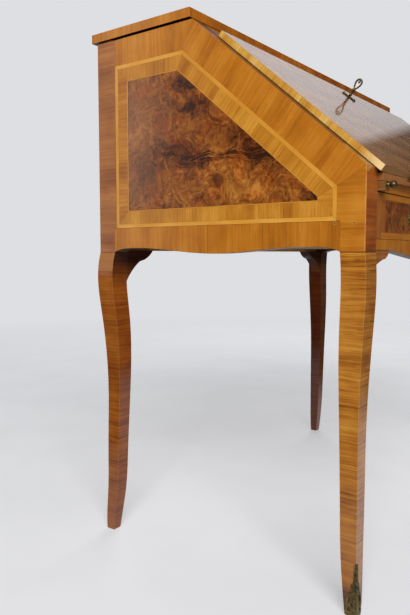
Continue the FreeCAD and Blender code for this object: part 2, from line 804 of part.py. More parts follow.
def leather_block(name):
    half = f"({LID_HALF} - dims.leather_side_border)"
    low = "dims.leather_low_border"
    n = ("dims.lid_seat_gap", "dims.lid_seat_gap + dims.leather_thick")
    return lid_block(name, both(half), (low, f"{LID_LENGTH} - dims.leather_head_border"), n)


def case_block(name, wall):
    """The lock case, or with a wall its hollow."""
    half = f"(dims.case_wide / 2 - {wall})"
    head = f"({LID_LENGTH} - dims.case_head)"
    s = (f"{head} - dims.case_long + {wall}", f"{head} - {wall}")
    n = (f"dims.lid_seat_gap + {wall}", f"dims.lid_seat_gap + dims.case_deep - {wall}")
    return lid_block(name, both(half), s, n)


def keyhole(name, n):
    """A round hole with a slot below it for the bit."""
    slot_half = "(dims.bit_thick / 2 + dims.key_clearance)"
    slot_foot = f"{KEYHOLE} - dims.key_radius - dims.bit_long - dims.key_clearance"
    hole = lid_rod(f"{name}_round", "dims.key_radius + dims.key_clearance", "0", KEYHOLE, n)
    slot = lid_block(f"{name}_slot", both(slot_half), (slot_foot, KEYHOLE), n)
    return fuse(name, [hole, slot])


def make_lid():
    seat = ("dims.lid_seat_gap", LID_FACE)
    inlay = (f"{LID_FACE} - dims.inlay_thick", LID_FACE)
    board = lid_frame("lid_whole", "0", seat)
    string_inner = lid_frame("lid_string_inner", "(dims.lid_border + dims.string_wide)", inlay)
    string = cut("lid_string", lid_frame("lid_string_outer", "dims.lid_border", inlay), string_inner)
    node("lid_stringing", string)
    leather = node("lid_leather", leather_block("lid_leather_sheet"))
    relief = "(dims.knuckle_radius + dims.hinge_relief)"
    tools = [string, leather, case_block("lock_mortise", "0"), keyhole("lid_keyhole", seat)]
    for side in (LEFT, RIGHT):
        wide = hinge_span(side)
        tools.append(lid_block(f"lid_knuckle_room_{side}", wide, ("0", relief), ("0", relief)))
        leaf = ("0", "dims.lid_seat_gap + dims.leaf_thick")
        tools.append(lid_block(f"lid_leaf_room_{side}", wide, ("0", "dims.leaf_long"), leaf))
    node("lid_board", cut("lid", board, *tools))


# Lock, key and staple


def bolt_middle():
    return f"({KEYHOLE} + dims.bolt_above_key)"


def staple_plate(name):
    """The foot of the staple, let into the face of the slanted rail."""
    half = "dims.staple_plate_wide / 2"
    middle = bolt_middle()
    s = (f"{middle} - dims.staple_wide / 2", f"{middle} + dims.staple_wide / 2")
    return lid_block(name, both(half), s, ("-dims.staple_plate_thick", "0"))


def bolt_bar(name, x, wide, thick):
    """A bar along the bolt's middle line."""
    middle = bolt_middle()
    depth = "(dims.lid_seat_gap + dims.case_deep / 2)"
    s = (f"{middle} - ({wide}) / 2", f"{middle} + ({wide}) / 2")
    n = (f"{depth} - ({thick}) / 2", f"{depth} + ({thick}) / 2")
    return lid_block(name, x, s, n)


def make_bolt():
    """A bolt with a tail that fills the case from face to face and a thinner nose."""
    hollow = "(dims.case_deep - 2 * dims.case_wall)"
    nose_end = "(-dims.staple_thick / 2 - dims.bolt_tip_gap)"
    shoulder = f"({nose_end} - dims.bolt_nose)"
    tail_end = f"({nose_end} - dims.bolt_long)"
    tail_thick = f"{hollow} - 2 * dims.running_gap"
    tail = bolt_bar("bolt_tail", (tail_end, shoulder), "dims.bolt_wide", tail_thick)
    nose = bolt_bar("bolt_nose", (shoulder, nose_end), "dims.bolt_wide", "dims.bolt_thick")
    node("lock_bolt", fuse("bolt", [tail, nose]))
    room = "dims.bolt_wide + 2 * dims.running_gap"
    guide_span = (tail_end, shoulder)
    guides = bolt_bar("bolt_guides", guide_span, f"{room} + 2 * dims.bolt_guide_wide", hollow)
    return cut("bolt_guide_pair", guides, bolt_bar("bolt_room", guide_span, room, hollow))


def make_lock():
    inner_face = ("dims.lid_seat_gap", "dims.lid_seat_gap + dims.case_wall")
    outer_face = ("dims.lid_seat_gap + dims.case_deep - dims.case_wall", "dims.lid_seat_gap + dims.case_deep")
    middle = bolt_middle()
    mouth_half = "(dims.staple_wide / 2 + dims.key_clearance + dims.eye_clearance)"
    mouth = lid_block(
        "staple_mouth",
        both("dims.staple_thick / 2 + dims.eye_clearance"),
        (f"{middle} - {mouth_half}", f"{middle} + {mouth_half}"),
        inner_face,
    )
    hollow = case_block("case_hollow", "dims.case_wall")
    case = cut("case_shell", case_block("case_whole", "0"), hollow, keyhole("case_keyhole", outer_face), mouth)
    node("lock_case", fuse("case", [case, make_bolt()]))
    half = "dims.staple_thick / 2"
    s = (f"{middle} - dims.staple_wide / 2", f"{middle} + dims.staple_wide / 2")
    loop = lid_block("staple_loop", both(half), s, ("-dims.staple_plate_thick", "dims.staple_tall"))
    spare = "2 * dims.eye_clearance"
    eye = bolt_bar("staple_eye", both(half), f"dims.bolt_wide + {spare}", f"dims.bolt_thick + {spare}")
    staple = fuse("staple_whole", [staple_plate("staple_foot"), loop])
    node("lock_staple", cut("staple", staple, eye))


def bow_ring():
    """An oval ring of round wire, long along X, whose path is four tangent arcs."""
    long, wide = number("dims.bow_half_long"), number("dims.bow_half_wide")
    end = number("dims.bow_end_radius")
    flank = (long ** 2 + wide ** 2 - 2 * long * end) / (2 * (wide - end))
    lean = math.atan2(flank - wide, long - end)
    join_x = long - end + end * math.cos(lean)
    join_y = end * math.sin(lean)
    corners = [Vector(join_x * x, join_y * y, 0) for x, y in ((1, -1), (1, 1), (-1, 1), (-1, -1))]
    crowns = [Vector(long, 0, 0), Vector(0, wide, 0), Vector(-long, 0, 0), Vector(0, -wide, 0)]
    arcs = []
    for index, crown in enumerate(crowns):
        arcs.append(Part.Arc(corners[index], crown, corners[(index + 1) % 4]).toShape())
    tangent = Vector(-math.sin(-lean), math.cos(-lean), 0)
    section = Part.Circle(corners[0], tangent, number("dims.bow_radius"))
    return Part.Wire(arcs).makePipeShell([Part.Wire(section.toShape())], True, False)


def make_key():
    """A key standing in the lock: shaft with bit, a collar and an oval bow in line with the bit."""
    shaft_foot = "(dims.lid_seat_gap + dims.case_wall + dims.running_gap)"
    bow_foot = f"({LID_FACE} + dims.escutcheon_thick + dims.key_reach)"
    shaft = lid_rod("key_shaft", "dims.key_radius", "0", KEYHOLE, (shaft_foot, bow_foot))
    collar_n = (f"{bow_foot} - dims.collar_tall", bow_foot)
    collar = lid_rod("key_collar", "dims.collar_radius", "0", KEYHOLE, collar_n)
    bit_s = (f"{KEYHOLE} - dims.key_radius - dims.bit_long", KEYHOLE)
    bit_n = (shaft_foot, f"{shaft_foot} + dims.bit_tall")
    bit = lid_block("key_bit", both("dims.bit_thick / 2"), bit_s, bit_n)
    bow = doc.addObject("Part::Feature", "key_bow")
    bow.Shape = bow_ring()
    upright = Rotation(X_AXIS, number(SLOPE_ANGLE)).multiply(Rotation(Y_AXIS, -90))
    middle = number(f"{bow_foot} + dims.bow_half_long")
    place_s = number(KEYHOLE)
    centre = Vector(
        0,
        number(AXIS_Y) + place_s * number(COS) - middle * number(SIN),
        number(DECK_TOP) + place_s * number(SIN) + middle * number(COS),
    )
    bow.Placement = Placement(centre, upright)
    node("key", fuse("key_whole", [shaft, collar, bit, bow]))


def make_escutcheon():
    """An oval plate with pointed ends round the keyhole."""
    half_long = "(dims.escutcheon_long / 2)"
    half_wide = "(dims.escutcheon_wide / 2)"
    steps = [
        ("arc", (f"-{half_wide}", "0"), ("0", half_long)),
        ("arc", (half_wide, "0"), ("0", f"-{half_long}")),
    ]
    plate = padded("escutcheon_plate", "XY_Plane", steps, "dims.escutcheon_thick")
    lay_on_lid(plate, "0", KEYHOLE, LID_FACE)
    through = (LID_FACE, f"{LID_FACE} + dims.escutcheon_thick")
    node("key_escutcheon", cut("escutcheon", plate, keyhole("escutcheon_keyhole", through)))


# Lopers with their knobs


def ball_foot(radius, stem, middle):
    """Height at which a stem meets a ball."""
    return f"({middle} - sqrt(({radius}) ^ 2 - ({stem}) ^ 2))"


def ball_end(radius, stem, middle):
    """Outline steps up a stem and over a ball to the axis."""
    return [
        ("line", (stem, ball_foot(radius, stem, middle))),
        ("arc", (radius, middle), ("0", f"{middle} + {radius}")),
    ]


def knob(name, length, radius, stem):
    """A turned ball knob with a flared foot."""
    middle = f"({length} - {radius})"
    neck = ball_foot(radius, stem, middle)
    return turned(name, [
        ("line", ("0", "0")),
        ("line", (f"{stem} * 1.6", "0")),
        ("line", (f"{stem} * 1.6", f"{neck} * 0.25")),
        ("line", (stem, f"{neck} * 0.6")),
        *ball_end(radius, stem, middle),
    ])


def make_lopers():
    for side, hand in ((LEFT, "left"), (RIGHT, "right")):
        drawn = "dims.loper_drawn" if side == LEFT else "0"
        front = f"({Y_FRONT} - {drawn})"
        foot = f"{RAIL_UNDER} + dims.running_gap"
        wide = on_side(side, LOPER_INNER, LOPER_OUTER)
        depth = (front, f"{front} + dims.loper_long")
        node(f"loper_{hand}", block(f"loper_bar_{hand}", wide, depth, (foot, LOPER_TOP)))
        turned_knob = knob(f"knob_{hand}", "dims.knob_length", "dims.knob_radius", "dims.knob_stem_radius")
        middle = f"{side} * ({LOPER_INNER} + dims.loper_wide / 2)"
        height = f"{LOPER_TOP} - dims.knob_radius - dims.running_gap"
        node(f"loper_knob_{hand}", face_forward(turned_knob, middle, front, height))


# Frieze drawers with their handles


def make_frieze_drawer(side, hand):
    inner = "(dims.muntin_wide / 2 + dims.drawer_side_gap)"
    outer = f"({POST_INNER} - dims.drawer_side_gap)"
    front_rear = f"({Y_FRONT} + dims.drawer_front_thick)"
    rear = f"({front_rear} + dims.drawer_long)"
    foot = f"({DRAWER_FLOOR} + dims.drawer_foot_gap)"
    head = f"{RAIL_UNDER} - dims.drawer_top_gap"
    wall_foot = f"({DRAWER_FLOOR} + dims.running_gap)"
    wall_height = (wall_foot, f"{wall_foot} + dims.drawer_side_tall")
    wall = "dims.drawer_side_thick"
    front = block(f"front_{hand}", on_side(side, inner, outer), (Y_FRONT, front_rear), (foot, head))
    node(f"drawer_{hand}_front", front)
    walls = [
        block(f"inner_wall_{hand}", on_side(side, inner, f"{inner} + {wall}"), (front_rear, rear), wall_height),
        block(f"outer_wall_{hand}", on_side(side, f"{outer} - {wall}", outer), (front_rear, rear), wall_height),
    ]
    node(f"drawer_{hand}_sides", group(f"walls_{hand}", walls))
    clear = on_side(side, f"{inner} + {wall}", f"{outer} - {wall}")
    back = block(f"rear_wall_{hand}", clear, (f"{rear} - {wall}", rear), wall_height)
    node(f"drawer_{hand}_back", back)
    bottom_foot = f"{wall_foot} + dims.drawer_bottom_lift"
    bottom_height = (bottom_foot, f"{bottom_foot} + dims.drawer_bottom_thick")
    bottom = block(f"bottom_{hand}", clear, (front_rear, f"{rear} - {wall}"), bottom_height)
    node(f"drawer_{hand}_bottom", bottom)
    make_handle(hand, f"{side} * ({inner} + {outer}) / 2", f"({foot} + {head}) / 2")


def make_handle(hand, middle, height):
    """Two turned mounts on a drawer front and a bail that swings in them."""
    ball = "dims.handle_ball_radius"
    reach = "dims.handle_standoff"
    stem = "dims.handle_stem_radius"
    pivot_y = f"{Y_FRONT} - {reach}"
    bore = rod_x(
        f"mount_bore_{hand}",
        "dims.bail_pin_radius + dims.pin_clearance",
        (f"{middle} - 2 * dims.handle_half_wide", f"{middle} + 2 * dims.handle_half_wide"),
        pivot_y,
        height,
    )
    mounts = []
    for side in (LEFT, RIGHT):
        mount = turned(f"mount_{hand}_{side}", [
            ("line", ("0", "0")),
            ("line", ("dims.rosette_radius", "0")),
            ("arc", ("dims.rosette_radius * 0.72", "dims.rosette_thick * 0.8"), (stem, "dims.rosette_thick")),
            *ball_end(ball, stem, reach),
        ])
        face_forward(mount, f"{middle} + {side} * dims.handle_half_wide", Y_FRONT, height)
        mounts.append(cut(f"mount_{hand}_{side}_bored", mount, bore))
    node(f"drawer_{hand}_handle_mounts", group(f"mounts_{hand}", mounts))
    node(f"drawer_{hand}_bail", make_bail(hand, middle, pivot_y, height))


def make_bail(hand, middle, pivot_y, height):
    """A bent rod between the mounts, with a pin at each end in the mount's ball."""
    half = "(dims.handle_half_wide - dims.bail_inside)"
    half_value = number(half)
    drop = number("dims.bail_drop")
    bend = number("dims.bail_bend")
    slant = bend * (1 - 0.5 ** 0.5)
    shoulder = Vector(-half_value, 0, bend - drop)
    low = Vector(bend - half_value, 0, -drop)
    half_turn = Vector(slant - half_value, 0, slant - drop)
    mirrored = [Vector(-point.x, 0, point.z) for point in (low, half_turn, shoulder)]
    path = Part.Wire([
        Part.makeLine(Vector(-half_value, 0, 0), shoulder),
        Part.Arc(shoulder, half_turn, low).toShape(),
        Part.makeLine(low, mirrored[0]),
        Part.Arc(*mirrored).toShape(),
        Part.makeLine(mirrored[2], Vector(half_value, 0, 0)),
    ])
    section = Part.Circle(Vector(-half_value, 0, 0), Vector(0, 0, 1), number("dims.bail_radius"))
    rod = doc.addObject("Part::Feature", f"bail_rod_{hand}")
    rod.Shape = path.makePipeShell([Part.Wire(section.toShape())], True, False)
    rod.Placement = Placement(Vector(number(middle), number(pivot_y), number(height)), Rotation())
    pieces = [rod]
    for side in (LEFT, RIGHT):
        eye = doc.addObject("Part::Sphere", f"bail_eye_{hand}_{side}")
        eye.setExpression("Radius", "dims.bail_radius * 1.2")
        pieces.append(move(eye, f"{middle} + {side} * {half}", pivot_y, height))
        span = on_side(side, half, "dims.handle_half_wide")
        span = (f"{middle} + {span[0]}", f"{middle} + {span[1]}")
        pieces.append(rod_x(f"bail_pin_{hand}_{side}", "dims.bail_pin_radius", span, pivot_y, height))
    return fuse(f"bail_{hand}", pieces)


# Pigeonholes and small drawers behind the fall front


def make_pigeonholes():
    shelf_top = f"({SHELF_UNDER} + dims.partition_thick)"
    back_depth = (UNIT_BACK, BACK_POST_FRONT)
    full_height = (DECK_TOP, TOP_UNDER)
    node("pigeonhole_back", block("unit_back", both(SIDE_INNER), back_depth, full_height))
    shelf_height = (SHELF_UNDER, shelf_top)
    node("pigeonhole_shelf", block("shelf", both(SIDE_INNER), (UNIT_FRONT, UNIT_BACK), shelf_height))
    depth = (f"{UNIT_FRONT} + dims.partition_setback", UNIT_BACK)
    half = "dims.partition_thick / 2"
    partitions = []
    holes = round(number("dims.pigeonholes"))
    for index in range(1, holes):
        middle = f"{SIDE_INNER} * (2 * {index} / dims.pigeonholes - 1)"
        wide = (f"{middle} - {half}", f"{middle} + {half}")
        upper = (shelf_top, TOP_UNDER)
        partitions.append(block(f"upper_partition_{index}", wide, depth, upper))
    for side in (LEFT, RIGHT):
        wide = on_side(side, "dims.niche_half", "dims.niche_half + dims.partition_thick")
        lower = (DECK_TOP, SHELF_UNDER)
        partitions.append(block(f"lower_partition_{side}", wide, (UNIT_FRONT, UNIT_BACK), lower))
    node("pigeonhole_partitions", group("partitions", partitions))


def make_small_drawer(side, hand):
    inner = "(dims.niche_half + dims.partition_thick + dims.small_gap)"
    outer = f"({SIDE_INNER} - dims.small_gap)"
    front_rear = f"({UNIT_FRONT} + dims.small_front_thick)"
    rear = f"({UNIT_BACK} - dims.small_back_gap)"
    foot = f"({DECK_TOP} + dims.running_gap)"
    head = f"{SHELF_UNDER} - dims.small_gap"
    wall = "dims.small_wall"
    wide = on_side(side, inner, outer)
    front = block(f"small_front_{hand}", wide, (UNIT_FRONT, front_rear), (foot, head))
    node(f"small_drawer_{hand}_front", front)
    wall_height = (foot, f"{foot} + dims.small_side_tall")
    depth = (front_rear, rear)
    clear = on_side(side, f"{inner} + {wall}", f"{outer} - {wall}")
    walls = [
        block(f"small_inner_{hand}", on_side(side, inner, f"{inner} + {wall}"), depth, wall_height),
        block(f"small_outer_{hand}", on_side(side, f"{outer} - {wall}", outer), depth, wall_height),
        block(f"small_rear_{hand}", clear, (f"{rear} - {wall}", rear), wall_height),
        block(f"small_bottom_{hand}", clear, (front_rear, f"{rear} - {wall}"), (foot, f"{foot} + {wall}")),
    ]
    node(f"small_drawer_{hand}_tray", group(f"small_walls_{hand}", walls))
    name = f"small_knob_{hand}"
    sizes = ("dims.small_knob_length", "dims.small_knob_radius", "dims.small_knob_stem_radius")
    middle = f"{side} * ({inner} + {outer}) / 2"
    height = f"({DECK_TOP} + {SHELF_UNDER}) / 2"
    node(f"small_drawer_{hand}_knob", face_forward(knob(name, *sizes), middle, UNIT_FRONT, height))


def check_and_export():
    """Stop if anything failed to build, then write each sub-part to its own file."""
    doc.recompute()
    failed = [obj.Label for obj in doc.Objects if {"Invalid", "Error"} & set(obj.State)]
    bad = [piece.Label for piece in nodes if piece.Shape.isNull() or not piece.Shape.isValid()]
    empty = [piece.Label for piece in nodes if not piece.Shape.Solids]
    if failed or bad or empty:
        raise RuntimeError(f"failed: {failed}, not valid: {bad}, no solid: {empty}")
    os.makedirs("parts", exist_ok=True)
    for piece in nodes:
        piece.Shape.exportStep(f"parts/{piece.Label}.step")
        print(f"{piece.Label}: {len(piece.Shape.Solids)} solids, {piece.Shape.Volume:.1f} cubic mm")


made_legs = make_legs()
for hand_side, hand_name in ((LEFT, "left"), (RIGHT, "right")):
    make_side(hand_side, hand_name)
    make_frieze_drawer(hand_side, hand_name)
    make_small_drawer(hand_side, hand_name)
make_top()
make_slope_rail()
make_back(made_legs)
make_apron(made_legs)
make_front_frame()
make_loper_runners()
make_deck()
make_hinges()
make_lid()
make_lock()
make_key()
make_escutcheon()
make_lopers()
make_pigeonholes()
check_and_export()
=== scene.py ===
"""Looks of a slant-front desk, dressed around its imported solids. Lengths are in metres."""
import math
import random
from collections import namedtuple
from functools import partialmethod

import bmesh
import bpy
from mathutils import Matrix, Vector
from mathutils.bvhtree import BVHTree


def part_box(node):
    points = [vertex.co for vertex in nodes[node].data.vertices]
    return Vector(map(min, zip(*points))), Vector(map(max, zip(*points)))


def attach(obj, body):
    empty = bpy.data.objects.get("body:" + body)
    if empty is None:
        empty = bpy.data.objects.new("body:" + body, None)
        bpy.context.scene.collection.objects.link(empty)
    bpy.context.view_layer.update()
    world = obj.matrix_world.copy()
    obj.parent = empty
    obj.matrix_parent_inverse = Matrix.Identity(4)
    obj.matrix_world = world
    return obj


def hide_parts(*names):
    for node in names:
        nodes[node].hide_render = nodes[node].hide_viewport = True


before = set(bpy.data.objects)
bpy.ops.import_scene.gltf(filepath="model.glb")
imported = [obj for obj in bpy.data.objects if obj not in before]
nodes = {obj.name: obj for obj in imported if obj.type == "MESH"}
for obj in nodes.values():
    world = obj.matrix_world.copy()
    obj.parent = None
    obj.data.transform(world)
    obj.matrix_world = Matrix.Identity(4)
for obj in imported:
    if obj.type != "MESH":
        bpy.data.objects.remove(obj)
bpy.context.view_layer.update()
materials = {}
rng = random.Random(11)
HANDS = ("left", "right")
MM = 0.001

# The part's own sizes: corner posts, the height where legs meet posts, and the rise of the slope
POST, JOINT, RISE = 0.040, 0.564, 0.274
# Widths of the borders, the light lines, the inner band with its fine line, and the gap below the top board
BORDER, SLOPE_BORDER, LID_BORDER, TOP_BORDER = 0.046, 0.051, 0.030, 0.044
STRING, LID_STRING, TOP_STRING, BAND, LINE = 0.007, 0.005, 0.004, 0.025, 0.0012
SHADOW = 0.003
# Places read from the solids
side_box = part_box("side_panel_left")
top_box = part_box("top_board")
lid_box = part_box("lid_board")
deck_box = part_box("writing_deck")
HALF = -side_box[0].x
FRONT, BACK = side_box[0].y - POST, side_box[1].y + POST
TOP_UNDER, TOP = top_box[0].z, top_box[1].z
DECK = deck_box[1].z
RUN = top_box[0].y - FRONT
SLOPE = math.hypot(RUN, RISE)
PITCH, COS, SIN = RISE / RUN, RUN / SLOPE, RISE / SLOPE
SLOPE_FOOT = TOP_UNDER - RISE
AXIS_Y = FRONT - (SLOPE_FOOT - DECK) / PITCH
LID_HALF = lid_box[1].x
# The lid's faces above the slope, its lower and upper ends along it, and the keyhole's place
LID_SEAT, LID_FACE = 0.0003, 0.0113
LID_LOW, LID_HIGH = 0.0004, SLOPE + (FRONT - AXIS_Y) / COS - 0.050
KEY_S = LID_HIGH - 0.049

# Flat pieces lie on planes: a and b run in the plane, the normal points out of it
Plane = namedtuple("Plane", "origin a b normal")
X, Y, Z = Vector((1, 0, 0)), Vector((0, 1, 0)), Vector((0, 0, 1))
LEVEL, UP = Vector((1, 0)), Vector((0, 1))
SLOPE_UP = Vector((0, COS, SIN))
SLOPE_OUT = Vector((0, -SIN, COS))
HINGE = Vector((0, AXIS_Y, DECK))
SIDES = {"left": Plane(-HALF * X, Y, Z, -X), "right": Plane(HALF * X, Y, Z, X)}
FRONT_PLANE = Plane(FRONT * Y, X, Z, -Y)
TOP_PLANE = Plane(TOP * Z, X, Y, Z)
LID_PLANE = Plane(HINGE + LID_FACE * SLOPE_OUT, X, SLOPE_UP, SLOPE_OUT)


# Materials


def paint(value):
    """A shader's colour from a grey level or from display values of 0 to 255; anything else stays as it is."""
    def linear(part):
        part /= 255
        return part / 12.92 if part <= 0.04045 else ((part + 0.055) / 1.055) ** 2.4

    if isinstance(value, float):
        return (value, value, value, 1.0)
    if isinstance(value, (tuple, list)) and len(value) == 3:
        return (*map(linear, value), 1.0)
    return value


def shade(colour, factor):
    return [part * factor for part in colour]


class Value:
    """A node's output. What is worked out from it is a new node's output."""

    def __init__(self, graph, socket):
        self.graph, self.socket = graph, socket

    def math(self, operation, *others):
        return self.graph.node("Math", (self, *others), operation=operation)

    __add__ = partialmethod(math, "ADD")
    __sub__ = partialmethod(math, "SUBTRACT")
    __mul__ = partialmethod(math, "MULTIPLY")
    __gt__ = partialmethod(math, "GREATER_THAN")
    __lt__ = partialmethod(math, "LESS_THAN")
    __abs__ = partialmethod(math, "ABSOLUTE")

    def __rsub__(self, other):
        return self.graph.node("Math", (other, self), operation="SUBTRACT")

    def vector(self, operation, other=(0.0, 0.0, 0.0)):
        output = "Value" if operation in ("DOT_PRODUCT", "DISTANCE") else "Vector"
        return self.graph.node("VectorMath", (self, other), output=output, operation=operation)

    def part(self, axis):
        return self.graph.node("SeparateXYZ", (self,), output=axis)

    def noise(self, scale, detail=2.0, roughness=0.5, distortion=0.0, output="Fac"):
        names = ("Vector", "Scale", "Detail", "Roughness", "Distortion")
        return self.graph.node("TexNoise", (self, scale, detail, roughness, distortion), names, output)

    def cells(self, scale, feature):
        return self.graph.node("TexVoronoi", (self, scale), ("Vector", "Scale"), "Distance", feature=feature)

    def swayed(self, scale, detail, reach):
        """A place moved to and fro by a noise."""
        sway = self.noise(scale, detail, output="Color").vector("SUBTRACT", (0.5, 0.5, 0.5))
        return self.vector("ADD", sway.vector("MULTIPLY", reach))

    def ramp(self, *stops):
        """Blend between stops of position and grey level or colour."""
        made = self.graph.node("ValToRGB", (self,))
        elements = made.socket.node.color_ramp.elements
        while len(elements) < len(stops):
            elements.new(0.5)
        for element, (position, colour) in zip(elements, stops):
            element.position, element.color = position, paint(colour)
        return made

    def mix(self, a, b, blend="MIX"):
        """One colour changed into another by this much."""
        return self.graph.node("Mix", (self, paint(a), paint(b)), (0, 6, 7), 2, data_type="RGBA", blend_type=blend)


def total(first, *others):
    """The sum of values, each times its weight."""
    value, weight = first
    result = value * weight
    for value, weight in others:
        result = result.graph.node("Math", (value, weight, result), operation="MULTIPLY_ADD")
    return result


class Graph:
    """Nodes of a material or the world around its shader."""

    def __init__(self, owner, shader="BSDF_PRINCIPLED", **sockets):
        owner.use_nodes = True
        self.tree = owner.node_tree
        self.shader = self.find(shader)
        self.set(**sockets)

    def find(self, kind):
        return next(node for node in self.tree.nodes if node.type == kind)

    def feed(self, made, values, keys=range(3)):
        """Link or set inputs of a node, the first ones unless others are named."""
        for key, value in zip(keys, values):
            if isinstance(value, Value):
                self.tree.links.new(value.socket, made.inputs[key])
            else:
                made.inputs[key].default_value = value

    def node(self, kind, values=(), keys=range(3), output=0, **settings):
        made = self.tree.nodes.new("ShaderNode" + kind)
        for key, value in settings.items():
            setattr(made, key, value)
        self.feed(made, values, keys)
        return Value(self, made.outputs[output])

    def set(self, **values):
        """Link or set inputs of the shader."""
        names = [name.replace("_", " ").title().replace("Ior", "IOR") for name in values]
        self.feed(self.shader, values.values(), names)

    def bump(self, height, strength, distance, onto="normal"):
        self.set(**{onto: self.node("Bump", (height, strength, distance), ("Height", "Strength", "Distance"))})

    def place(self):
        """Rest place in metres: a piece's object sits at the origin."""
        return self.node("TexCoord", output="Object")

    def level(self):
        """Height above the floor at rest."""
        return self.place().part("Z")

    def normal(self):
        return self.node("NewGeometry", output="Normal")

    def grain(self, way):
        """Coordinates with the grain along their first axis, from a veneer's own map or a rest place."""
        if way == "map":
            return self.node("UVMap", output="UV", uv_map="grain")
        place = self.place()
        if way == "level":
            return place
        return self.node("CombineXYZ", [place.part(axis) for axis in sorted("XYZ", key=lambda axis: axis != way)])

    def worn_edges(self, radius):
        """A mask that is light on sharp edges."""
        rounded = self.node("Bevel", (radius,), samples=6)
        return rounded.vector("DOT_PRODUCT", self.normal()).ramp((0.80, 1.0), (0.97, 0.0))


def material(name, **sockets):
    materials[name] = bpy.data.materials.new(name)
    return Graph(materials[name], **sockets)


def wood(name, finish, dark, middle, light, grain="map", figure=1.0, fine=0.0, cracks=0.0, wear=None, rough=0.34,
         ripple=0.0, marks=()):
    """Wood with streaks, pores and slow changes of tone. Grain "level" runs in both level directions."""
    graph = material(name, **finish._asdict())
    place = graph.grain(grain).swayed(9.0, 2.0, (0.008, 0.008, 0.008))

    def drawn(along, across, detail=2.0, roughness=0.5):
        """A noise drawn out along the grain."""
        factors = (along, along, across) if grain == "level" else (along, across, across)
        return place.vector("MULTIPLY", factors).noise(1.0, detail, roughness)

    slow = drawn(2.0, 26.0)
    streak = drawn(7.0, 230.0, 3.0, 0.6)
    pore = drawn(40.0, 1000.0)
    cloud = place.noise(20.0, 3.0)
    value = total(
        (slow, 0.36 - fine), (streak, 0.30 * figure + fine), (pore, 0.10 * figure), (cloud, 0.24), (0.20, 1 - figure))
    colour = value.ramp((0.38, dark), (0.5, middle), (0.62, light))
    fleck = drawn(30.0, 260.0, 1.0).ramp((0.68, 0.0), (0.78, 0.35))
    colour = fleck.mix(colour, shade(dark, 0.66))
    if cracks:
        colour = drawn(13.0, 620.0).ramp((0.63, 0.0), (0.70, cracks)).mix(colour, shade(dark, 0.5))
    if grain == "map":
        tone = graph.node("Attribute", output="Fac", attribute_name="tone")
        colour = tone.mix(colour, REDDER, "MULTIPLY")
    if wear:
        patch = place.noise(60.0, 3.0).ramp((0.35, 0.25), (0.62, 1.0))
        colour = (graph.worn_edges(0.0014) * patch).mix(colour, wear)
    for mark in marks:
        colour = mark(graph, colour)
    smear = place.noise(30.0, 4.0)
    graph.set(base_color=colour, roughness=total((smear, 0.16), (pore, 0.10), (1.0, rough - 0.13)))
    graph.bump(total((streak, 0.5), (pore, 0.5)), 0.16, 0.0004)
    if ripple:
        graph.bump(total((drawn(5.0, 24.0), 0.75), (drawn(14.0, 90.0), 0.25)), ripple, 0.001, "coat_normal")


# Marks of age and joinery, and painted shade and shadow: each takes a wood's colour and gives it back changed

COLLAR = 0.038
PIN_HOLES = [(-0.2486, 0.6067), (-0.2174, 0.6067)]
# Heights where the painted shade under the carcass starts and where it is full
UNDER_SHADE_FROM, UNDER_SHADE_FULL = 0.495, 0.548
TENTHS = 10.0


def near(distance, inner, outer, amount):
    """A mask that is full up to one distance and gone at another, both under a tenth of a metre."""
    return (distance * TENTHS).ramp((inner * TENTHS, amount), (outer * TENTHS, 0.0))


def from_hinge(graph, direction):
    """Distance from the lid's axis along a direction."""
    return graph.place().vector("SUBTRACT", HINGE).vector("DOT_PRODUCT", direction)


def seam(graph, colour, height, amount):
    return near(abs(graph.level() - height), 0.0004, 0.0012, amount).mix(colour, (58, 28, 12))


def joint_seam(graph, colour, amount=0.85):
    """A dark line where a leg meets its veneered post."""
    return seam(graph, colour, JOINT - 0.0007, amount)


def collar(graph, colour):
    """A paler piece of veneer below that line on a leg's outer side, with a line of its own."""
    paler = ((graph.level() > JOINT - COLLAR) * 0.6).mix(colour, (170, 112, 46))
    side = abs(graph.normal().part("X")) > 0.75
    return joint_seam(graph, side.mix(colour, seam(graph, paler, JOINT - COLLAR, 0.45)), 0.6)


def pin_holes(graph, colour):
    """Old pin holes near the front corner of a side."""
    for y, z in PIN_HOLES:
        far = graph.place().vector("DISTANCE", (-HALF, y, z))
        colour = near(far, 0.0010, 0.0034, 0.45).mix(colour, (226, 176, 104))
        colour = near(far, 0.0010, 0.0017, 0.95).mix(colour, (40, 20, 10))
    return colour


def rubbed_corner(graph, colour):
    """Varnish rubbed off along the upright front corner."""
    place = graph.place()
    outer = abs(place.part("X")) > HALF - 0.001
    patchy = place.noise(45.0, 3.0).ramp((0.35, 0.25), (0.6, 1.0))
    return (near(place.part("Y") - FRONT, 0.0008, 0.0022, 0.5) * (outer * patchy)).mix(colour, (224, 168, 100))


def rubbed_tip(graph, colour):
    """Bare pale wood at the lower end of the lid's edge."""
    ragged = total((graph.place().noise(120.0, 3.0), 0.03), (from_hinge(graph, SLOPE_UP), 1.0))
    return near(ragged, 0.020, 0.060, 0.8).mix(colour, (246, 214, 160))


def edge_foot_shadow(graph, colour):
    """A painted shadow line where the lid's edge meets its seat."""
    return near(from_hinge(graph, SLOPE_OUT), 0.0006, 0.0014, 0.9).mix(colour, (38, 19, 9))


def top_gap_shadow(graph, colour):
    """Painted shadow in the narrow gap below the top board."""
    return near(abs(graph.level() - (TOP_UNDER - SHADOW / 2)), 0.0016, 0.0024, 0.95).mix(colour, (24, 12, 7))


def ledge(graph, colour):
    """The sloping edge of a side: painted shade beside the lid, and rubbed on its outer arris."""
    sloping = graph.normal().vector("DOT_PRODUCT", SLOPE_OUT) > 0.95
    out = abs(graph.place().part("X"))
    ledge_shade_and_wear = near(out - LID_HALF, 0.002, 0.009, 0.95).mix((120, 64, 30), (24, 11, 6))
    ledge_shade_and_wear = ((out > HALF - 0.0024) * 0.8).mix(ledge_shade_and_wear, (200, 142, 104))
    return (sloping * 0.9).mix(colour, ledge_shade_and_wear)


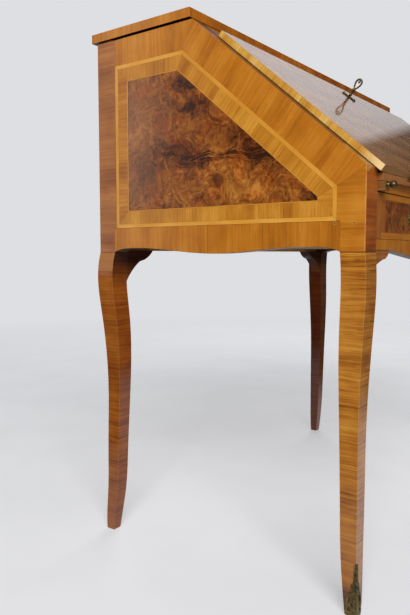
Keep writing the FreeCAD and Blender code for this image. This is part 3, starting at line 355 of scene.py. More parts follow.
def painted_under_shade(graph, colour):
    """Painted shade: wood darkened almost to black towards the carcass's underside, where shade falls."""
    return graph.level().ramp((UNDER_SHADE_FROM, 0.0), (UNDER_SHADE_FULL, 0.85)).mix(colour, (30, 15, 9))


def painted_inner_shade(graph, colour):
    """Painted shade: the faces of a hind leg that look inwards or forwards, under the desk, are darkened."""
    outward = graph.normal()
    inner = outward.part("X") * graph.place().part("X").math("SIGN") < -0.6
    front = outward.part("Y") < -0.6
    darker = total((inner, 0.5), (1.0, 0.4)).mix(colour, (196, 152, 118), "MULTIPLY")
    return inner.math("MAXIMUM", front).mix(colour, painted_under_shade(graph, darker))


def darker_towards_floor(graph, colour):
    """Darkens a leg towards the floor, most of all behind its sabot."""
    for full, amount, gone, tint in ((0.05, 0.8, 0.42, (222, 212, 206)), (0.034, 0.9, 0.056, (150, 124, 118))):
        colour = graph.level().ramp((full, amount), (gone, 0.0)).mix(colour, tint, "MULTIPLY")
    return colour


# Finishes, the tint of a veneer's redder leaves, and the woods with their dark, middle and light tones

Finish = namedtuple("Finish", "coat_weight coat_roughness ior specular_ior_level")
POLISH = Finish(0.85, 0.10, 1.45, 0.1)
SHINE = Finish(0.62, 0.02, 1.5, 0.2)
WAX = Finish(0.06, 0.25, 1.42, 0.3)
DULL = Finish(0.0, 0.03, 1.42, 0.12)
BARE = Finish(0.0, 0.03, 1.4, 0.3)
REDDER = (214, 176, 150)

wood("border_veneer", POLISH, (158, 92, 20), (185, 113, 26), (203, 134, 42), marks=(pin_holes, rubbed_corner))
wood("post_veneer", POLISH, (136, 76, 30), (164, 101, 44), (186, 124, 62))
wood("band_veneer", POLISH, (160, 97, 24), (190, 125, 36), (214, 153, 58))
wood("string_veneer", POLISH, (200, 133, 38), (217, 152, 54), (231, 173, 78), figure=0.5)
wood("front_veneer", POLISH, (128, 62, 16), (164, 88, 26), (188, 114, 42))
wood("lid_veneer", SHINE, (118, 72, 30), (164, 107, 48), (194, 134, 70), rough=0.26, ripple=0.06)
wood("lid_string", SHINE, (138, 90, 38), (164, 112, 52), (186, 136, 72), figure=0.5, rough=0.26, ripple=0.06)
wood("edge_veneer", WAX, (190, 130, 44), (220, 170, 74), (240, 206, 124), marks=(rubbed_tip, edge_foot_shadow))
wood("leg_wood", POLISH, (132, 72, 16), (182, 115, 36), (208, 146, 58), "level", fine=0.14, cracks=0.85,
     wear=(222, 170, 98), marks=(joint_seam, ledge, darker_towards_floor))
wood("hind_wood", POLISH, (114, 53, 8), (152, 81, 18), (178, 107, 34), "level", figure=0.8, fine=0.18, cracks=0.6,
     wear=(206, 146, 82), marks=(collar, painted_inner_shade))
# Painted shade: the knee blocks' tones are kept dark for the shade under the carcass
wood("knee_wood", DULL, (92, 42, 12), (122, 62, 18), (146, 84, 30), "level", marks=(painted_under_shade,))
wood("core_wood", DULL, (62, 36, 20), (94, 56, 32), (120, 78, 46), "Y", marks=(ledge, top_gap_shadow))
wood("rail_wood", POLISH, (120, 66, 26), (160, 96, 42), (186, 122, 60), "X", wear=(206, 152, 92))
wood("slope_wood", POLISH, (120, 66, 26), (160, 96, 42), (186, 122, 60), "X", marks=(top_gap_shadow,))
wood("lid_core", WAX, (124, 80, 38), (152, 105, 56), (174, 128, 76), "X", cracks=0.35)
wood("deck_wood", WAX, (128, 76, 38), (150, 94, 50), (168, 112, 64), "X", cracks=0.4)
wood("upright_wood", WAX, (128, 76, 38), (150, 94, 50), (168, 112, 64), "Z", cracks=0.4)
wood("bare_x", BARE, (128, 92, 56), (164, 126, 82), (190, 154, 108), "X", rough=0.62)
wood("bare_y", BARE, (128, 92, 56), (164, 126, 82), (190, 154, 108), "Y", rough=0.62)
wood("loper_wood", WAX, (92, 56, 24), (126, 82, 38), (152, 106, 56), "Y")
wood("back_boards", BARE, (128, 94, 58), (148, 112, 74), (166, 130, 90), rough=0.66, cracks=0.5)

# Soft ovals in a side's burl: middle and half widths in millimetres, and how much lighter, or for the painted sheen
# how strongly it covers them
BURL_PATCHES = [
    ((-35, 672), (100, 40), 0.10),
    ((4, 684), (20, 16), -0.12),
    ((75, 862), (45, 32), -0.13),
    ((40, 812), (60, 18), -0.09),
    ((-83, 732), (42, 26), -0.10),
    ((165, 695), (55, 55), -0.05),
    ((165, 810), (50, 65), 0.04),
    ((-180, 652), (24, 14), -0.08),
    ((90, 742), (80, 24), -0.075),
    ((-60, 762), (45, 20), -0.07),
    ((30, 722), (40, 12), -0.05),
    ((-85, 668), (50, 18), 0.05),
]
BURL_FLAME = [((50, 724), (70, 16), -0.15), ((-30, 727), (75, 14), -0.18), ((-90, 733), (45, 22), -0.14)]
BURL_PAINTED_SHEEN = [((195, 800), (110, 130), 0.42), ((195, 680), (80, 70), 0.30)]


def make_burl():
    """Burl: mottled red and golden browns in curls, with small eyes, a flame of dark lines, golden patches and a
    painted grey sheen towards the back.
    """
    graph = material("burl_veneer", **POLISH._asdict())
    place = graph.grain("map")
    turned = place.swayed(16.0, 4.0, (0.05, 0.05, 0.0))
    patch = place.noise(13.0, 4.0)
    curl = turned.noise(40.0, 5.0, 0.6, distortion=2.0)
    mottle = turned.noise(170.0, 3.0, 0.6, distortion=0.8)
    value = total((patch, 0.34), (curl, 0.42), (mottle, 0.24))

    def blob(middle, half, reach):
        """A soft oval in the figure, bent with the curls."""
        off = turned.vector("SUBTRACT", (MM * middle[0], MM * middle[1], 0.0))
        far = off.vector("MULTIPLY", (1 / (MM * half[0]), 1 / (MM * half[1]), 0.0)).vector("DISTANCE")
        return far.ramp((0.2, 1.0), (1.0, 0.0)) * reach

    for oval in BURL_PATCHES:
        value = value + blob(*oval)
    lines = turned.vector("MULTIPLY", (16.0, 300.0, 0.0)).noise(1.0, 3.0, 0.6).ramp((0.44, 0.0), (0.56, 1.0))
    for oval in BURL_FLAME:
        value = value + lines * blob(*oval)
    colour = value.ramp(
        (0.36, (52, 25, 10)), (0.43, (94, 48, 17)), (0.50, (132, 73, 25)), (0.56, (156, 94, 34)),
        (0.64, (194, 132, 56)))
    reddish = turned.noise(26.0, 4.0, 0.6).ramp((0.46, 0.0), (0.62, 0.6))
    colour = reddish.mix(colour, (246, 196, 166), "MULTIPLY")
    eyes = turned.cells(190.0, "SMOOTH_F1").ramp((0.10, 0.7), (0.26, 0.0))
    groups = place.noise(22.0).ramp((0.48, 0.0), (0.60, 1.0))
    colour = (eyes * groups).mix(colour, (44, 22, 11))
    # Painted sheen: a pale grey reflection laid over the back of the burl
    for oval in BURL_PAINTED_SHEEN:
        colour = blob(*oval).mix(colour, (150, 108, 80))
    graph.set(base_color=colour, roughness=total((curl, 0.2), (1.0, 0.22)))
    graph.bump(mottle, 0.10, 0.0003)


def make_metal(name, dark, bright, rough):
    """Cast metal, dark in its hollows and rubbed bright on its edges."""
    graph = material(name, metallic=0.85)
    place = graph.place()
    spot = place.noise(240.0, 4.0, 0.65)
    broad = place.noise(55.0)
    colour = total((spot, 0.6), (broad, 0.4)).ramp((0.36, dark), (0.66, bright))
    rubbed = graph.worn_edges(0.0008) * broad.ramp((0.3, 0.3), (0.6, 0.9))
    colour = rubbed.mix(colour, shade(bright, 1.35))
    speck = place.noise(700.0).ramp((0.60, 0.0), (0.70, 0.75))
    colour = speck.mix(colour, [min(250, part) for part in shade(bright, 1.5)])
    graph.set(base_color=colour, roughness=total((spot, 0.3), (1.0, rough)))
    graph.bump(spot, 0.25, 0.0005)


def make_leather():
    graph = material("leather", ior=1.45)
    worn = graph.place().noise(7.0, 5.0, 0.6)
    colour = worn.ramp((0.36, (66, 33, 20)), (0.52, (84, 43, 25)), (0.68, (104, 57, 34)))
    graph.set(base_color=colour, roughness=total((worn, 0.35), (1.0, 0.28)))
    graph.bump(graph.place().cells(700.0, "DISTANCE_TO_EDGE"), 0.35, 0.0004)


make_burl()
make_metal("bronze", (38, 32, 18), (122, 106, 64), 0.24)
make_metal("brass", (120, 92, 44), (178, 144, 78), 0.24)
make_metal("steel", (66, 64, 62), (120, 118, 114), 0.32)
make_metal("gilding", (150, 112, 46), (206, 166, 84), 0.3)
make_leather()


# Pieces


def linked(name, data):
    """A new object in the scene."""
    made = bpy.data.objects.new(name, data)
    bpy.context.scene.collection.objects.link(made)
    return made


def built(name, bm, finish):
    """A new object from corners and faces, which are used up."""
    mesh = bpy.data.meshes.new(name)
    bm.to_mesh(mesh)
    bm.free()
    mesh.materials.append(materials[finish])
    return linked(name, mesh)


def add_piece(name, bm, finish, body, slot, *stands_for, smooth=True):
    bmesh.ops.recalc_face_normals(bm, faces=bm.faces)
    piece = built(name, bm, finish)
    if smooth:
        piece.data.shade_smooth()
    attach(piece, body)
    if stands_for:
        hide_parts(*stands_for)
    return piece


def join(bm, rings):
    """Faces from ring to ring of corners, where a ring of one corner is a tip."""
    faces = []
    for low, high in zip(rings, rings[1:]):
        count = max(len(low), len(high))
        for i in range(count):
            j = (i + 1) % count
            corners = [low[i % len(low)], low[j % len(low)], high[j % len(high)], high[i % len(high)]]
            faces.append(bm.faces.new(list(dict.fromkeys(corners))))
    return faces


# Flat veneers: how deep they are bedded, the gap at an open joint, and a length that no strip reaches

BEDDING = 0.0003
OPEN_JOINT = 0.00035
UNCUT = 9.0


def clipped(points, along, low, high):
    """The part of an outline between two distances along a direction."""
    points = [Vector(point) for point in points]
    for sign, limit in ((1, high), (-1, -low)):
        kept = []
        for here, there in zip(points, points[1:] + points[:1]):
            a, b = sign * here.dot(along) - limit, sign * there.dot(along) - limit
            if a <= 0:
                kept.append(here)
            if a * b < 0:
                kept.append(here.lerp(there, a / (a - b)))
        points = kept
    return points


def turned_left(vector):
    return Vector((-vector.y, vector.x))


def inset(points, amount):
    """An outline moved inwards, corner by corner."""
    loop = list(zip(points[-1:] + points[:-1], points, points[1:] + points[:1]))
    area = sum(here.x * after.y - here.y * after.x for _, here, after in loop)
    sign = 1 if area > 0 else -1
    moved = []
    for before, here, after in loop:
        a = sign * turned_left((here - before).normalized())
        b = sign * turned_left((after - here).normalized())
        moved.append(here + (a + b) * (amount / max(1 + a.dot(b), 0.3)))
    return moved


def rectangle(a0, b0, a1, b1):
    return [(a0, b0), (a1, b0), (a1, b1), (a0, b1)]


def shrunk(box, a, b=None):
    b = a if b is None else b
    return (box[0] + a, box[1] + b, box[2] - a, box[3] - b)


def ring(outer, inner):
    """Mitred strips between two outlines, each with the direction of its length."""
    for i in range(len(outer)):
        j = (i + 1) % len(outer)
        yield [outer[i], outer[j], inner[j], inner[i]], Vector(outer[j]) - Vector(outer[i])


class Veneer:
    """Thin closed slabs in one mesh, each with its own grain map and tone."""

    def __init__(self, plane, thick=0.0004, gap=0.00008, chamfer=0.00006):
        self.bm = bmesh.new()
        self.map = self.bm.loops.layers.uv.new("grain")
        self.tone = self.bm.faces.layers.float.new("tone")
        self.plane, self.thick, self.gap, self.chamfer = plane, thick, gap, chamfer

    def lay(self, points, grain, tone=None, gap=None, shift=None):
        """Lay one leaf; tone and the place in the figure are drawn at random unless they are given."""
        points = [Vector(point) for point in points]
        gap = self.gap if gap is None else gap
        tone = rng.uniform(0.0, 0.4) if tone is None else tone
        along = Vector(grain).normalized()
        shift = Vector((rng.uniform(0, 9), rng.uniform(0, 9))) if shift is None else Vector(shift)
        low, high = inset(points, gap), inset(points, gap + self.chamfer)
        origin, a, b, normal = self.plane
        where, rings = {}, []
        for outline, level in ((low, -BEDDING), (low, self.thick - self.chamfer), (high, self.thick)):
            rings.append([])
            for point in outline:
                corner = self.bm.verts.new(origin + point.x * a + point.y * b + level * normal)
                where[corner] = (point.dot(along) + shift.x, point.dot(turned_left(along)) + shift.y)
                rings[-1].append(corner)
        for face in [self.bm.faces.new(rings[0][::-1]), self.bm.faces.new(rings[2]), *join(self.bm, rings)]:
            face[self.tone] = tone
            for loop in face.loops:
                loop[self.map].uv = where[loop.vert]

    def strip(self, points, along, length, across=True, tone=(0.0, 0.4), gap=None):
        """Lay a strip in lengths of about one size, with the grain across it or along it."""
        along = Vector(along).normalized()
        reach = [Vector(point).dot(along) for point in points]
        low, high = min(reach), max(reach)
        count = max(1, round((high - low) / length))
        inner = [low + (high - low) * (i + rng.uniform(-0.25, 0.25)) / count for i in range(1, count)]
        cuts = [low - 1] + inner + [high + 1]
        for start, end in zip(cuts, cuts[1:]):
            grain = turned_left(along) if across else along
            self.lay(clipped(points, along, start, end), grain, rng.uniform(*tone), gap)

    def row(self, cuts, low, high, grain, tone=None):
        """Lay leaves side by side between cuts."""
        for start, end in zip(cuts, cuts[1:]):
            self.lay(rectangle(start, low, end, high), grain, tone)

    def frame(self, outer, inner, length=UNCUT, across=True, tone=(0.0, 0.4)):
        """Lay strips between two boxes, mitred at the corners."""
        for points, along in ring(rectangle(*outer), rectangle(*inner)):
            self.strip(points, along, length, across, tone)

    def done(self, name, finish, body, slot, *stands_for):
        add_piece(name, self.bm, finish, body, slot, *stands_for, smooth=False)


def front_of(node):
    """The plane of a node's front and its box there."""
    low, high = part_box(node)
    return Plane(low.y * Y, X, Z, -Y), (low.x, low.z, high.x, high.z)


def lower_edge(node, across, face, along, below):
    """The curved lower edge of a solid's outer face, read from the corners of its mesh."""
    edge = {}
    for vertex in nodes[node].data.vertices:
        if vertex.co[across] < face + 0.0005 and vertex.co.z < below:
            edge[round(vertex.co[along], 5)] = vertex.co.z
    return sorted(edge.items())


def inlay_corners(inward):
    """Corners of a side's inlay, from the low front one, at a distance inwards from its border."""
    front, back = FRONT + BORDER + inward, BACK - BORDER - inward
    low, high = JOINT + BORDER + inward, TOP_UNDER - SLOPE_BORDER - inward
    drop = (SLOPE_BORDER + inward) / COS
    slope_low = SLOPE_FOOT + (front - FRONT) * PITCH - drop
    slope_high = FRONT + (high - SLOPE_FOOT + drop) / PITCH
    return [(front, low), (front, slope_low), (slope_high, high), (back, high), (back, low)]


def dress_side(hand):
    """Borders, light line, inner band with its fine line, and the burl field."""
    edge = lower_edge("side_panel_left", 0, -HALF, 1, JOINT + 0.012)
    c0, c1, c2, c3, c4 = inlay_corners(0)
    front_end, back_end = (edge[0][0], c0[1]), (edge[-1][0], c4[1])
    top = TOP_UNDER - SHADOW
    foot, head = (FRONT, SLOPE_FOOT), (FRONT + RUN, TOP_UNDER)
    border, back_strip, string, band, burl = (Veneer(SIDES[hand]) for _ in range(5))
    border.strip([(FRONT, JOINT), edge[0], front_end, c0, c1, foot], UP, 0.14, tone=(0.0, 0.2), gap=OPEN_JOINT)
    border.strip(clipped([foot, head, c2, c1], UP, 0, top), (RUN, RISE), 0.17, tone=(0.0, 0.25))
    border.strip(clipped([c2, head, (c3[0], TOP_UNDER), c3], UP, 0, top), LEVEL, 0.2, tone=(0.0, 0.3))
    border.strip(edge + [back_end, front_end], LEVEL, 0.12, tone=(0.0, 0.12), gap=OPEN_JOINT)
    border.done(f"side_border_{hand}", "border_veneer", "carcass", "banding_veneer")
    outline = [edge[-1], (BACK, JOINT), (BACK, top), (c4[0], top), c4, back_end]
    back_strip.strip(outline, UP, 0.16, tone=(0.0, 0.3), gap=OPEN_JOINT)
    back_strip.done(f"side_back_strip_{hand}", "post_veneer", "carcass", "banding_veneer")

    outer, inner, field = (inlay_corners(inward) for inward in (STRING, STRING + BAND - LINE, STRING + BAND))
    for points, along in ring(inlay_corners(0), outer):
        string.lay(points, along, tone=rng.uniform(0, 0.2))
    for points, along in ring(inner, field):
        string.lay(points, along, tone=0.3, gap=0.0)
    string.done(f"side_strings_{hand}", "string_veneer", "carcass", "stringing", f"side_stringing_{hand}")
    tones = [(0.0, 0.3), (0.0, 0.3), (0.0, 0.3), (0.4, 0.6), (0.0, 0.2)]
    for tone, (points, along) in zip(tones, ring(outer, inner)):
        band.strip(points, along, 0.09, tone=tone)
    band.done(f"side_band_{hand}", "band_veneer", "carcass", "banding_veneer")
    burl.lay(field, LEVEL, tone=0, shift=(0, 0))
    burl.done(f"side_figure_{hand}", "burl_veneer", "carcass", "burl_veneer", f"side_burl_{hand}")


def dress_top():
    """Banding on the face and round the edges, a light line and three leaves."""
    (x0, y0, _), (x1, y1, _) = top_box
    box = (x0, y0, x1, y1)
    panel, field = shrunk(box, TOP_BORDER), shrunk(box, TOP_BORDER + TOP_STRING)
    band, lines, leaves = (Veneer(TOP_PLANE) for _ in range(3))
    band.frame(box, panel, 0.13)
    for origin, a, normal, low, high in (
        (x0 * X, Y, -X, y0, y1), (x1 * X, Y, X, y0, y1), (y0 * Y, X, -Y, x0, x1), (y1 * Y, X, Y, x0, x1),
    ):
        band.plane = Plane(origin, a, Z, normal)
        # Painted shade: the front edge's leaves get darker, redder tones than the other edges
        tone = (0.45, 1.0) if normal == -Y else (0.0, 0.15)
        band.strip(rectangle(low, TOP_UNDER, high, TOP), LEVEL, 0.15, tone=tone)
    band.done("top_banding", "border_veneer", "carcass", "banding_veneer")
    lines.frame(panel, field, across=False, tone=(0.0, 0.2))
    lines.done("top_strings", "string_veneer", "carcass", "stringing")
    a0, b0, a1, b1 = field
    leaves.row((a0, a0 / 3, a1 / 3, a1), b0, b1, (1, 0.04))
    leaves.done("top_field", "front_veneer", "carcass", "banding_veneer")


def dress_lid():
    """Banding, a light line, four leaves round the keyhole, and pale edges."""
    box = (-LID_HALF, LID_LOW, LID_HALF, LID_HIGH)
    panel, field = shrunk(box, LID_BORDER), shrunk(box, LID_BORDER + LID_STRING)
    band, lines, leaves = (Veneer(LID_PLANE, thick=0.0002) for _ in range(3))
    band.frame(box, panel, 0.13)
    band.done("lid_banding", "lid_veneer", "lid", "lid_veneer")
    lines.frame(panel, field, across=False, tone=(0.0, 0.3))
    lines.done("lid_strings", "lid_string", "lid", "stringing", "lid_stringing")
    a0, b0, a1, b1 = field
    middle = (b0 + b1) / 2
    hole_low, hole_high, hole = KEY_S - 0.0135, KEY_S + 0.0045, 0.0045
    for side, outer in ((-1, a0), (1, a1)):
        leaves.lay([(outer, b0), (0, b0), (0, middle), (outer, middle)], (1, side * 0.10))
        notch = [(0, hole_low), (side * hole, hole_low), (side * hole, hole_high), (0, hole_high)]
        leaves.lay([(outer, middle), (0, middle), *notch, (0, b1), (outer, b1)], (1, -side * 0.10))
    leaves.done("lid_field", "lid_veneer", "lid", "lid_veneer")
    edge = Veneer(None)
    for side in (-1, 1):
        edge.plane = Plane(HINGE + side * LID_HALF * X, SLOPE_UP, SLOPE_OUT, side * X)
        edge.strip(rectangle(LID_LOW, LID_SEAT, LID_HIGH, LID_FACE), LEVEL, 0.10, tone=(0.0, 0.3))
    edge.plane = Plane(HINGE + LID_HIGH * SLOPE_UP, X, SLOPE_OUT, SLOPE_UP)
    edge.strip(rectangle(-LID_HALF, LID_SEAT, LID_HALF, LID_FACE), LEVEL, 0.12, tone=(0.0, 0.3))
    edge.done("lid_edging", "edge_veneer", "lid", "lid_veneer")


def dress_leather():
    """A writing leather with two gilt lines tooled round it."""
    low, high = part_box("lid_leather")
    foot, head = ((end.y - AXIS_Y) * COS + (end.z - DECK) * SIN for end in (low, high))
    seat = Plane(HINGE + 0.0015 * SLOPE_OUT, X, SLOPE_UP, -SLOPE_OUT)
    boxes = [shrunk((low.x, foot, high.x, head), inward) for inward in (0.0, 0.014, 0.0155, 0.020, 0.0206)]
    skin = Veneer(seat, thick=0.0011, gap=0.0, chamfer=0.0003)
    for i in (0, 2):
        skin.frame(boxes[i], boxes[i + 1])
    skin.lay(rectangle(*boxes[4]), LEVEL)
    skin.done("writing_leather", "leather", "lid", "leather", "lid_leather")
    line = Veneer(seat, thick=0.0008, gap=0.0, chamfer=0.0001)
    for i in (1, 3):
        line.frame(boxes[i], boxes[i + 1])
    line.done("leather_tooling", "gilding", "lid", "leather")


def dress_front():
    """Veneer on the posts, the muntin, the rail and the apron."""
    posts, rails = Veneer(FRONT_PLANE), Veneer(FRONT_PLANE)
    for side in (-1, 1):
        left, right = sorted((side * HALF, side * (HALF - POST)))
        posts.strip(rectangle(left, JOINT, right, SLOPE_FOOT), UP, 0.1, tone=(0.3, 0.6))
    posts.strip(rectangle(*front_of("drawer_muntin")[1]), UP, 0.1, tone=(0.2, 0.5))
    posts.done("front_posts", "front_veneer", "carcass", "front_veneer")
    rails.strip(rectangle(*front_of("front_rail")[1]), LEVEL, 0.3, across=False)
    left, _, right, high = front_of("front_apron")[1]
    edge = lower_edge("front_apron", 1, FRONT, 0, high - 0.001)
    rails.strip(edge + [(right, high), (left, high)], LEVEL, 0.12)
    rails.done("front_rails", "border_veneer", "carcass", "front_veneer")


def dress_back():
    """Three boards with chamfered joints."""
    low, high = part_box("back_panel")
    boards = Veneer(Plane(high.y * Y, X, Z, Y), thick=0.0016, gap=0.0010, chamfer=0.0012)
    cuts = [low.z, low.z + 0.128, low.z + 0.236, high.z]
    for start, end in zip(cuts, cuts[1:]):
        boards.lay(rectangle(low.x, start, high.x, end), LEVEL)
    boards.done("back_planks", "back_boards", "carcass", "secondary_wood")


def dress_drawer(hand):
    """A frieze drawer's front with upright ends, level strips above and below, a figured inner band and burl."""
    node, body = f"drawer_{hand}_front", f"drawer_{hand}"
    plane, (x0, z0, x1, z1) = front_of(node)
    end, rail, inner = 0.018, 0.010, 0.018
    left, foot, right, head = shrunk((x0, z0, x1, z1), end, rail)
    middle = (x0 + x1) / 2
    ends, rails, bands, field = (Veneer(plane) for _ in range(4))
    for start in (x0, right):
        ends.lay(rectangle(start, z0, start + end, z1), UP)
    for start in (z0, head):
        rails.strip(rectangle(left, start, right, start + rail), LEVEL, 0.16, across=False, tone=(0.1, 0.4))
    for start in (left, right - inner):
        bands.lay(rectangle(start, foot, start + inner, head), UP, tone=0.1)
    field.row((left + inner, middle, right - inner), foot, head, UP, 0.0)
    ends.done(f"{node}_ends", "post_veneer", body, "front_veneer")
    rails.done(f"{node}_rails", "border_veneer", body, "front_veneer")
    bands.done(f"{node}_bands", "front_veneer", body, "front_veneer")
    field.done(f"{node}_figure", "burl_veneer", body, "burl_veneer")


def dress_small_drawer(hand):
    """A small drawer's front with a frame of veneer, a light line and two leaves."""
    node, body = f"small_drawer_{hand}_front", f"small_drawer_{hand}"
    plane, box = front_of(node)
    panel = shrunk(box, 0.012, 0.010)
    left, low, right, high = field = shrunk(panel, 0.0015)
    border, strings, leaves = (Veneer(plane) for _ in range(3))
    border.frame(box, panel, across=False)
    border.done(f"{node}_border", "border_veneer", body, "deck_veneer")
    strings.frame(panel, field, across=False, tone=(0.1, 0.3))
    strings.done(f"{node}_strings", "string_veneer", body, "stringing")
    leaves.row((left, (left + right) / 2, right), low, high, LEVEL, 0.0)
    leaves.done(f"{node}_figure", "front_veneer", body, "deck_veneer")


for hand in HANDS:
    dress_side(hand)
dress_top()
dress_lid()
dress_leather()
dress_front()
dress_back()
for hand in HANDS:
    dress_drawer(hand)
    dress_small_drawer(hand)


# Cast and turned metal: profiles of radius and height are in millimetres, and the knob's in parts of its own size

KNOB = [(0, 0), (0.92, 0), (0.95, 0.04), (0.80, 0.10), (0.62, 0.13), (0.66, 0.19), (0.50, 0.24), (0.44, 0.30)]
ROSETTE = [(0, 0), (11.2, 0), (11.4, 0.8), (9.8, 2.2), (7.2, 2.0), (6.6, 2.8), (5.0, 4.2), (3.4, 4.8), (2.7, 6.4),
           (2.8, 8.8)]
BAIL_EYE = [(0, -3.4), (2.2, -3.0), (3.1, -1.2), (3.1, 1.2), (1.8, 2.2), (1.8, 6.6), (0, 6.6)]
KEY_SHAFT = [(0, 0), (2.6, 0), (2.6, 15.0), (4.0, 15.6), (4.2, 16.8), (2.8, 17.8), (2.5, 20.0), (3.1, 23.2),
             (2.6, 26.2), (4.2, 27.2), (4.4, 28.8), (3.0, 30.0), (2.4, 31.0), (1.8, 33.0), (0, 33.0)]
KEY_DROP = [(0, -0.1), (1.2, 0.6), (2.3, 2.2), (2.5, 3.6), (1.5, 5.4), (1.3, 7.2), (0, 7.2)]
KEY_BEAD = [(0, 0), (1.6, 1.2), (2.1, 2.4), (1.2, 3.4), (0, 3.8)]
PLATE_PIN = [(0, 0), (2.6, 0), (2.6, 0.8), (1.9, 2.0), (1.0, 2.6), (0, 2.8)]
# Openings in the escutcheon besides the keyhole: middle and half widths in millimetres
PLATE_HOLES = [(6.6, 5.0, 1.7, 2.6), (-6.6, 5.0, 1.7, 2.6), (6.2, -6.2, 1.6, 2.8), (-6.2, -6.2, 1.6, 2.8),
               (0, 10.8, 1.6, 3.0)]


def angles(count):
    return [2 * math.pi * i / count for i in range(count)]


def turn(bm, base, axis, profile, segments=32, lobes=0, depth=0.0, from_radius=0.0):
    """Turn a profile about an axis; its wide parts can be cut into petals."""
    first = axis.orthogonal().normalized()
    second = axis.cross(first)
    rings = []
    for radius, height in profile:
        cut = depth if radius >= from_radius else 0.0
        rings.append([])
        for angle in angles(segments if radius else 1):
            reach = MM * radius * (1 - cut * (0.5 - 0.5 * math.cos(lobes * angle)))
            outward = math.cos(angle) * first + math.sin(angle) * second
            rings[-1].append(bm.verts.new(base + MM * height * axis + reach * outward))
    join(bm, rings)


def ball(radius, middle, low_radius, steps=7):
    """Profile of a ball on a stem, from where the stem meets it to its crown."""
    start = math.asin(low_radius / radius)
    sweep = [start + (math.pi - start) * i / steps for i in range(steps)]
    return [(radius * math.sin(angle), middle - radius * math.cos(angle)) for angle in sweep] + [(0, middle + radius)]


def tube(bm, points, radii, closed=False, segments=14):
    """A round bar along points, with a radius at each."""
    side = None
    rings = []
    for i, point in enumerate(points):
        before = points[i - 1] if closed or i else point
        after = points[(i + 1) % len(points)] if closed or i < len(points) - 1 else point
        ahead = (after - before).normalized()
        side = ahead.orthogonal() if side is None else side - side.dot(ahead) * ahead
        side.normalize()
        other = ahead.cross(side)
        rings.append([bm.verts.new(point + radii[i] * (math.cos(angle) * side + math.sin(angle) * other))
                      for angle in angles(segments)])
    if closed:
        rings.append(rings[0])
    else:
        bm.faces.new(rings[0][::-1])
        bm.faces.new(rings[-1])
    join(bm, rings)


def seat_of(node):
    """A node's middle, on the front that it stands on."""
    low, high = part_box(node)
    return Vector(((low.x + high.x) / 2, high.y, (low.z + high.z) / 2)), high - low


def make_knob(name, node, body):
    """A turned knob: a moulded foot, a neck and a ball with a small crown."""
    seat, size = seat_of(node)
    radius, length = size.z / 2 / MM, size.y / MM
    profile = [(r * radius, h * length) for r, h in KNOB]
    profile += ball(radius, length - radius - 0.6, KNOB[-1][0] * radius)[:-1]
    bm = bmesh.new()
    turn(bm, seat, -Y, profile + [(1.2, length - 0.2), (0, length)])
    add_piece(name, bm, "bronze", body, "bronze", node)


def make_handle(hand):
    """Petalled mounts on a drawer front and a bail with a turned grip."""
    seat, size = seat_of(f"drawer_{hand}_handle_mounts")
    half = size.x / 2 - 0.011
    mounts, bail = bmesh.new(), bmesh.new()
    pivot = seat - 0.014 * Y
    arm, drop, bend = half - 0.009, 0.022, 0.014
    straight, steps = arm - bend, 24
    corner = [(-arm, -drop * 0.12 * i) for i in range(4)]
    for angle in [math.radians(10 * i) for i in range(10)]:
        corner.append((bend - arm - bend * math.cos(angle), bend - drop - bend * math.sin(angle)))
    path = corner + [(-straight + 2 * straight * i / steps, -drop) for i in range(1, steps)]
    path += [(-x, z) for x, z in reversed(corner)]
    radii = []
    for x, _ in path:
        grip = max(0.0, 1 - abs(x) / 0.016)
        bead = 0.0012 if 0.0145 < abs(x) < 0.0185 else 0.0
        radii.append(0.0023 + 0.0012 * math.sin(grip * math.pi / 2) + bead)
    tube(bail, [pivot + x * X + z * Z for x, z in path], radii)
    for side in (-1, 1):
        turn(mounts, seat + side * half * X, -Y, ROSETTE + ball(5.0, 14.0, 2.8), 64, 8, 0.24, from_radius=7.0)
        turn(bail, pivot + side * arm * X, side * X, BAIL_EYE, 20)
    add_piece(f"drawer_{hand}_rosettes", mounts, "bronze", f"drawer_{hand}", "bronze", f"drawer_{hand}_handle_mounts")
    add_piece(f"drawer_{hand}_swing_bail", bail, "bronze", f"bail_{hand}", "bronze", f"drawer_{hand}_bail")


def on_lid(x, s, n):
    return HINGE + x * X + s * SLOPE_UP + n * SLOPE_OUT


def make_key():
    """A key in its lock: bit, baluster shaft and a drop-shaped bow with beads along it and a drop inside."""
    bm = bmesh.new()
    foot, bow, bow_half = 0.0016, 0.0431, 0.0113
    turn(bm, on_lid(0, KEY_S, foot), SLOPE_OUT, KEY_SHAFT, 24)
    for corner in bmesh.ops.create_cube(bm, size=1.0)["verts"]:
        x, s, n = corner.co
        corner.co = on_lid(0.002 * x, KEY_S - 0.0053 + 0.0104 * s, foot + 0.0022 + 0.004 * n)
    line, radii = [], []
    for t in angles(72):
        swell = 0.0064 - 0.0026 * math.cos(t)
        line.append(on_lid(0, KEY_S + swell * math.sin(t), bow - bow_half * math.cos(t)))
        radii.append(0.0016 - 0.0003 * math.cos(t) + 0.0004 * abs(math.cos(6 * t)) ** 0.6)
    tube(bm, line, radii, closed=True, segments=12)
    for below, profile in ((0.0085, KEY_DROP), (0.001, KEY_BEAD)):
        turn(bm, on_lid(0, KEY_S, bow + bow_half - below), SLOPE_OUT, profile, 14)
    add_piece("key_with_bow", bm, "bronze", "key", "bronze", "key")


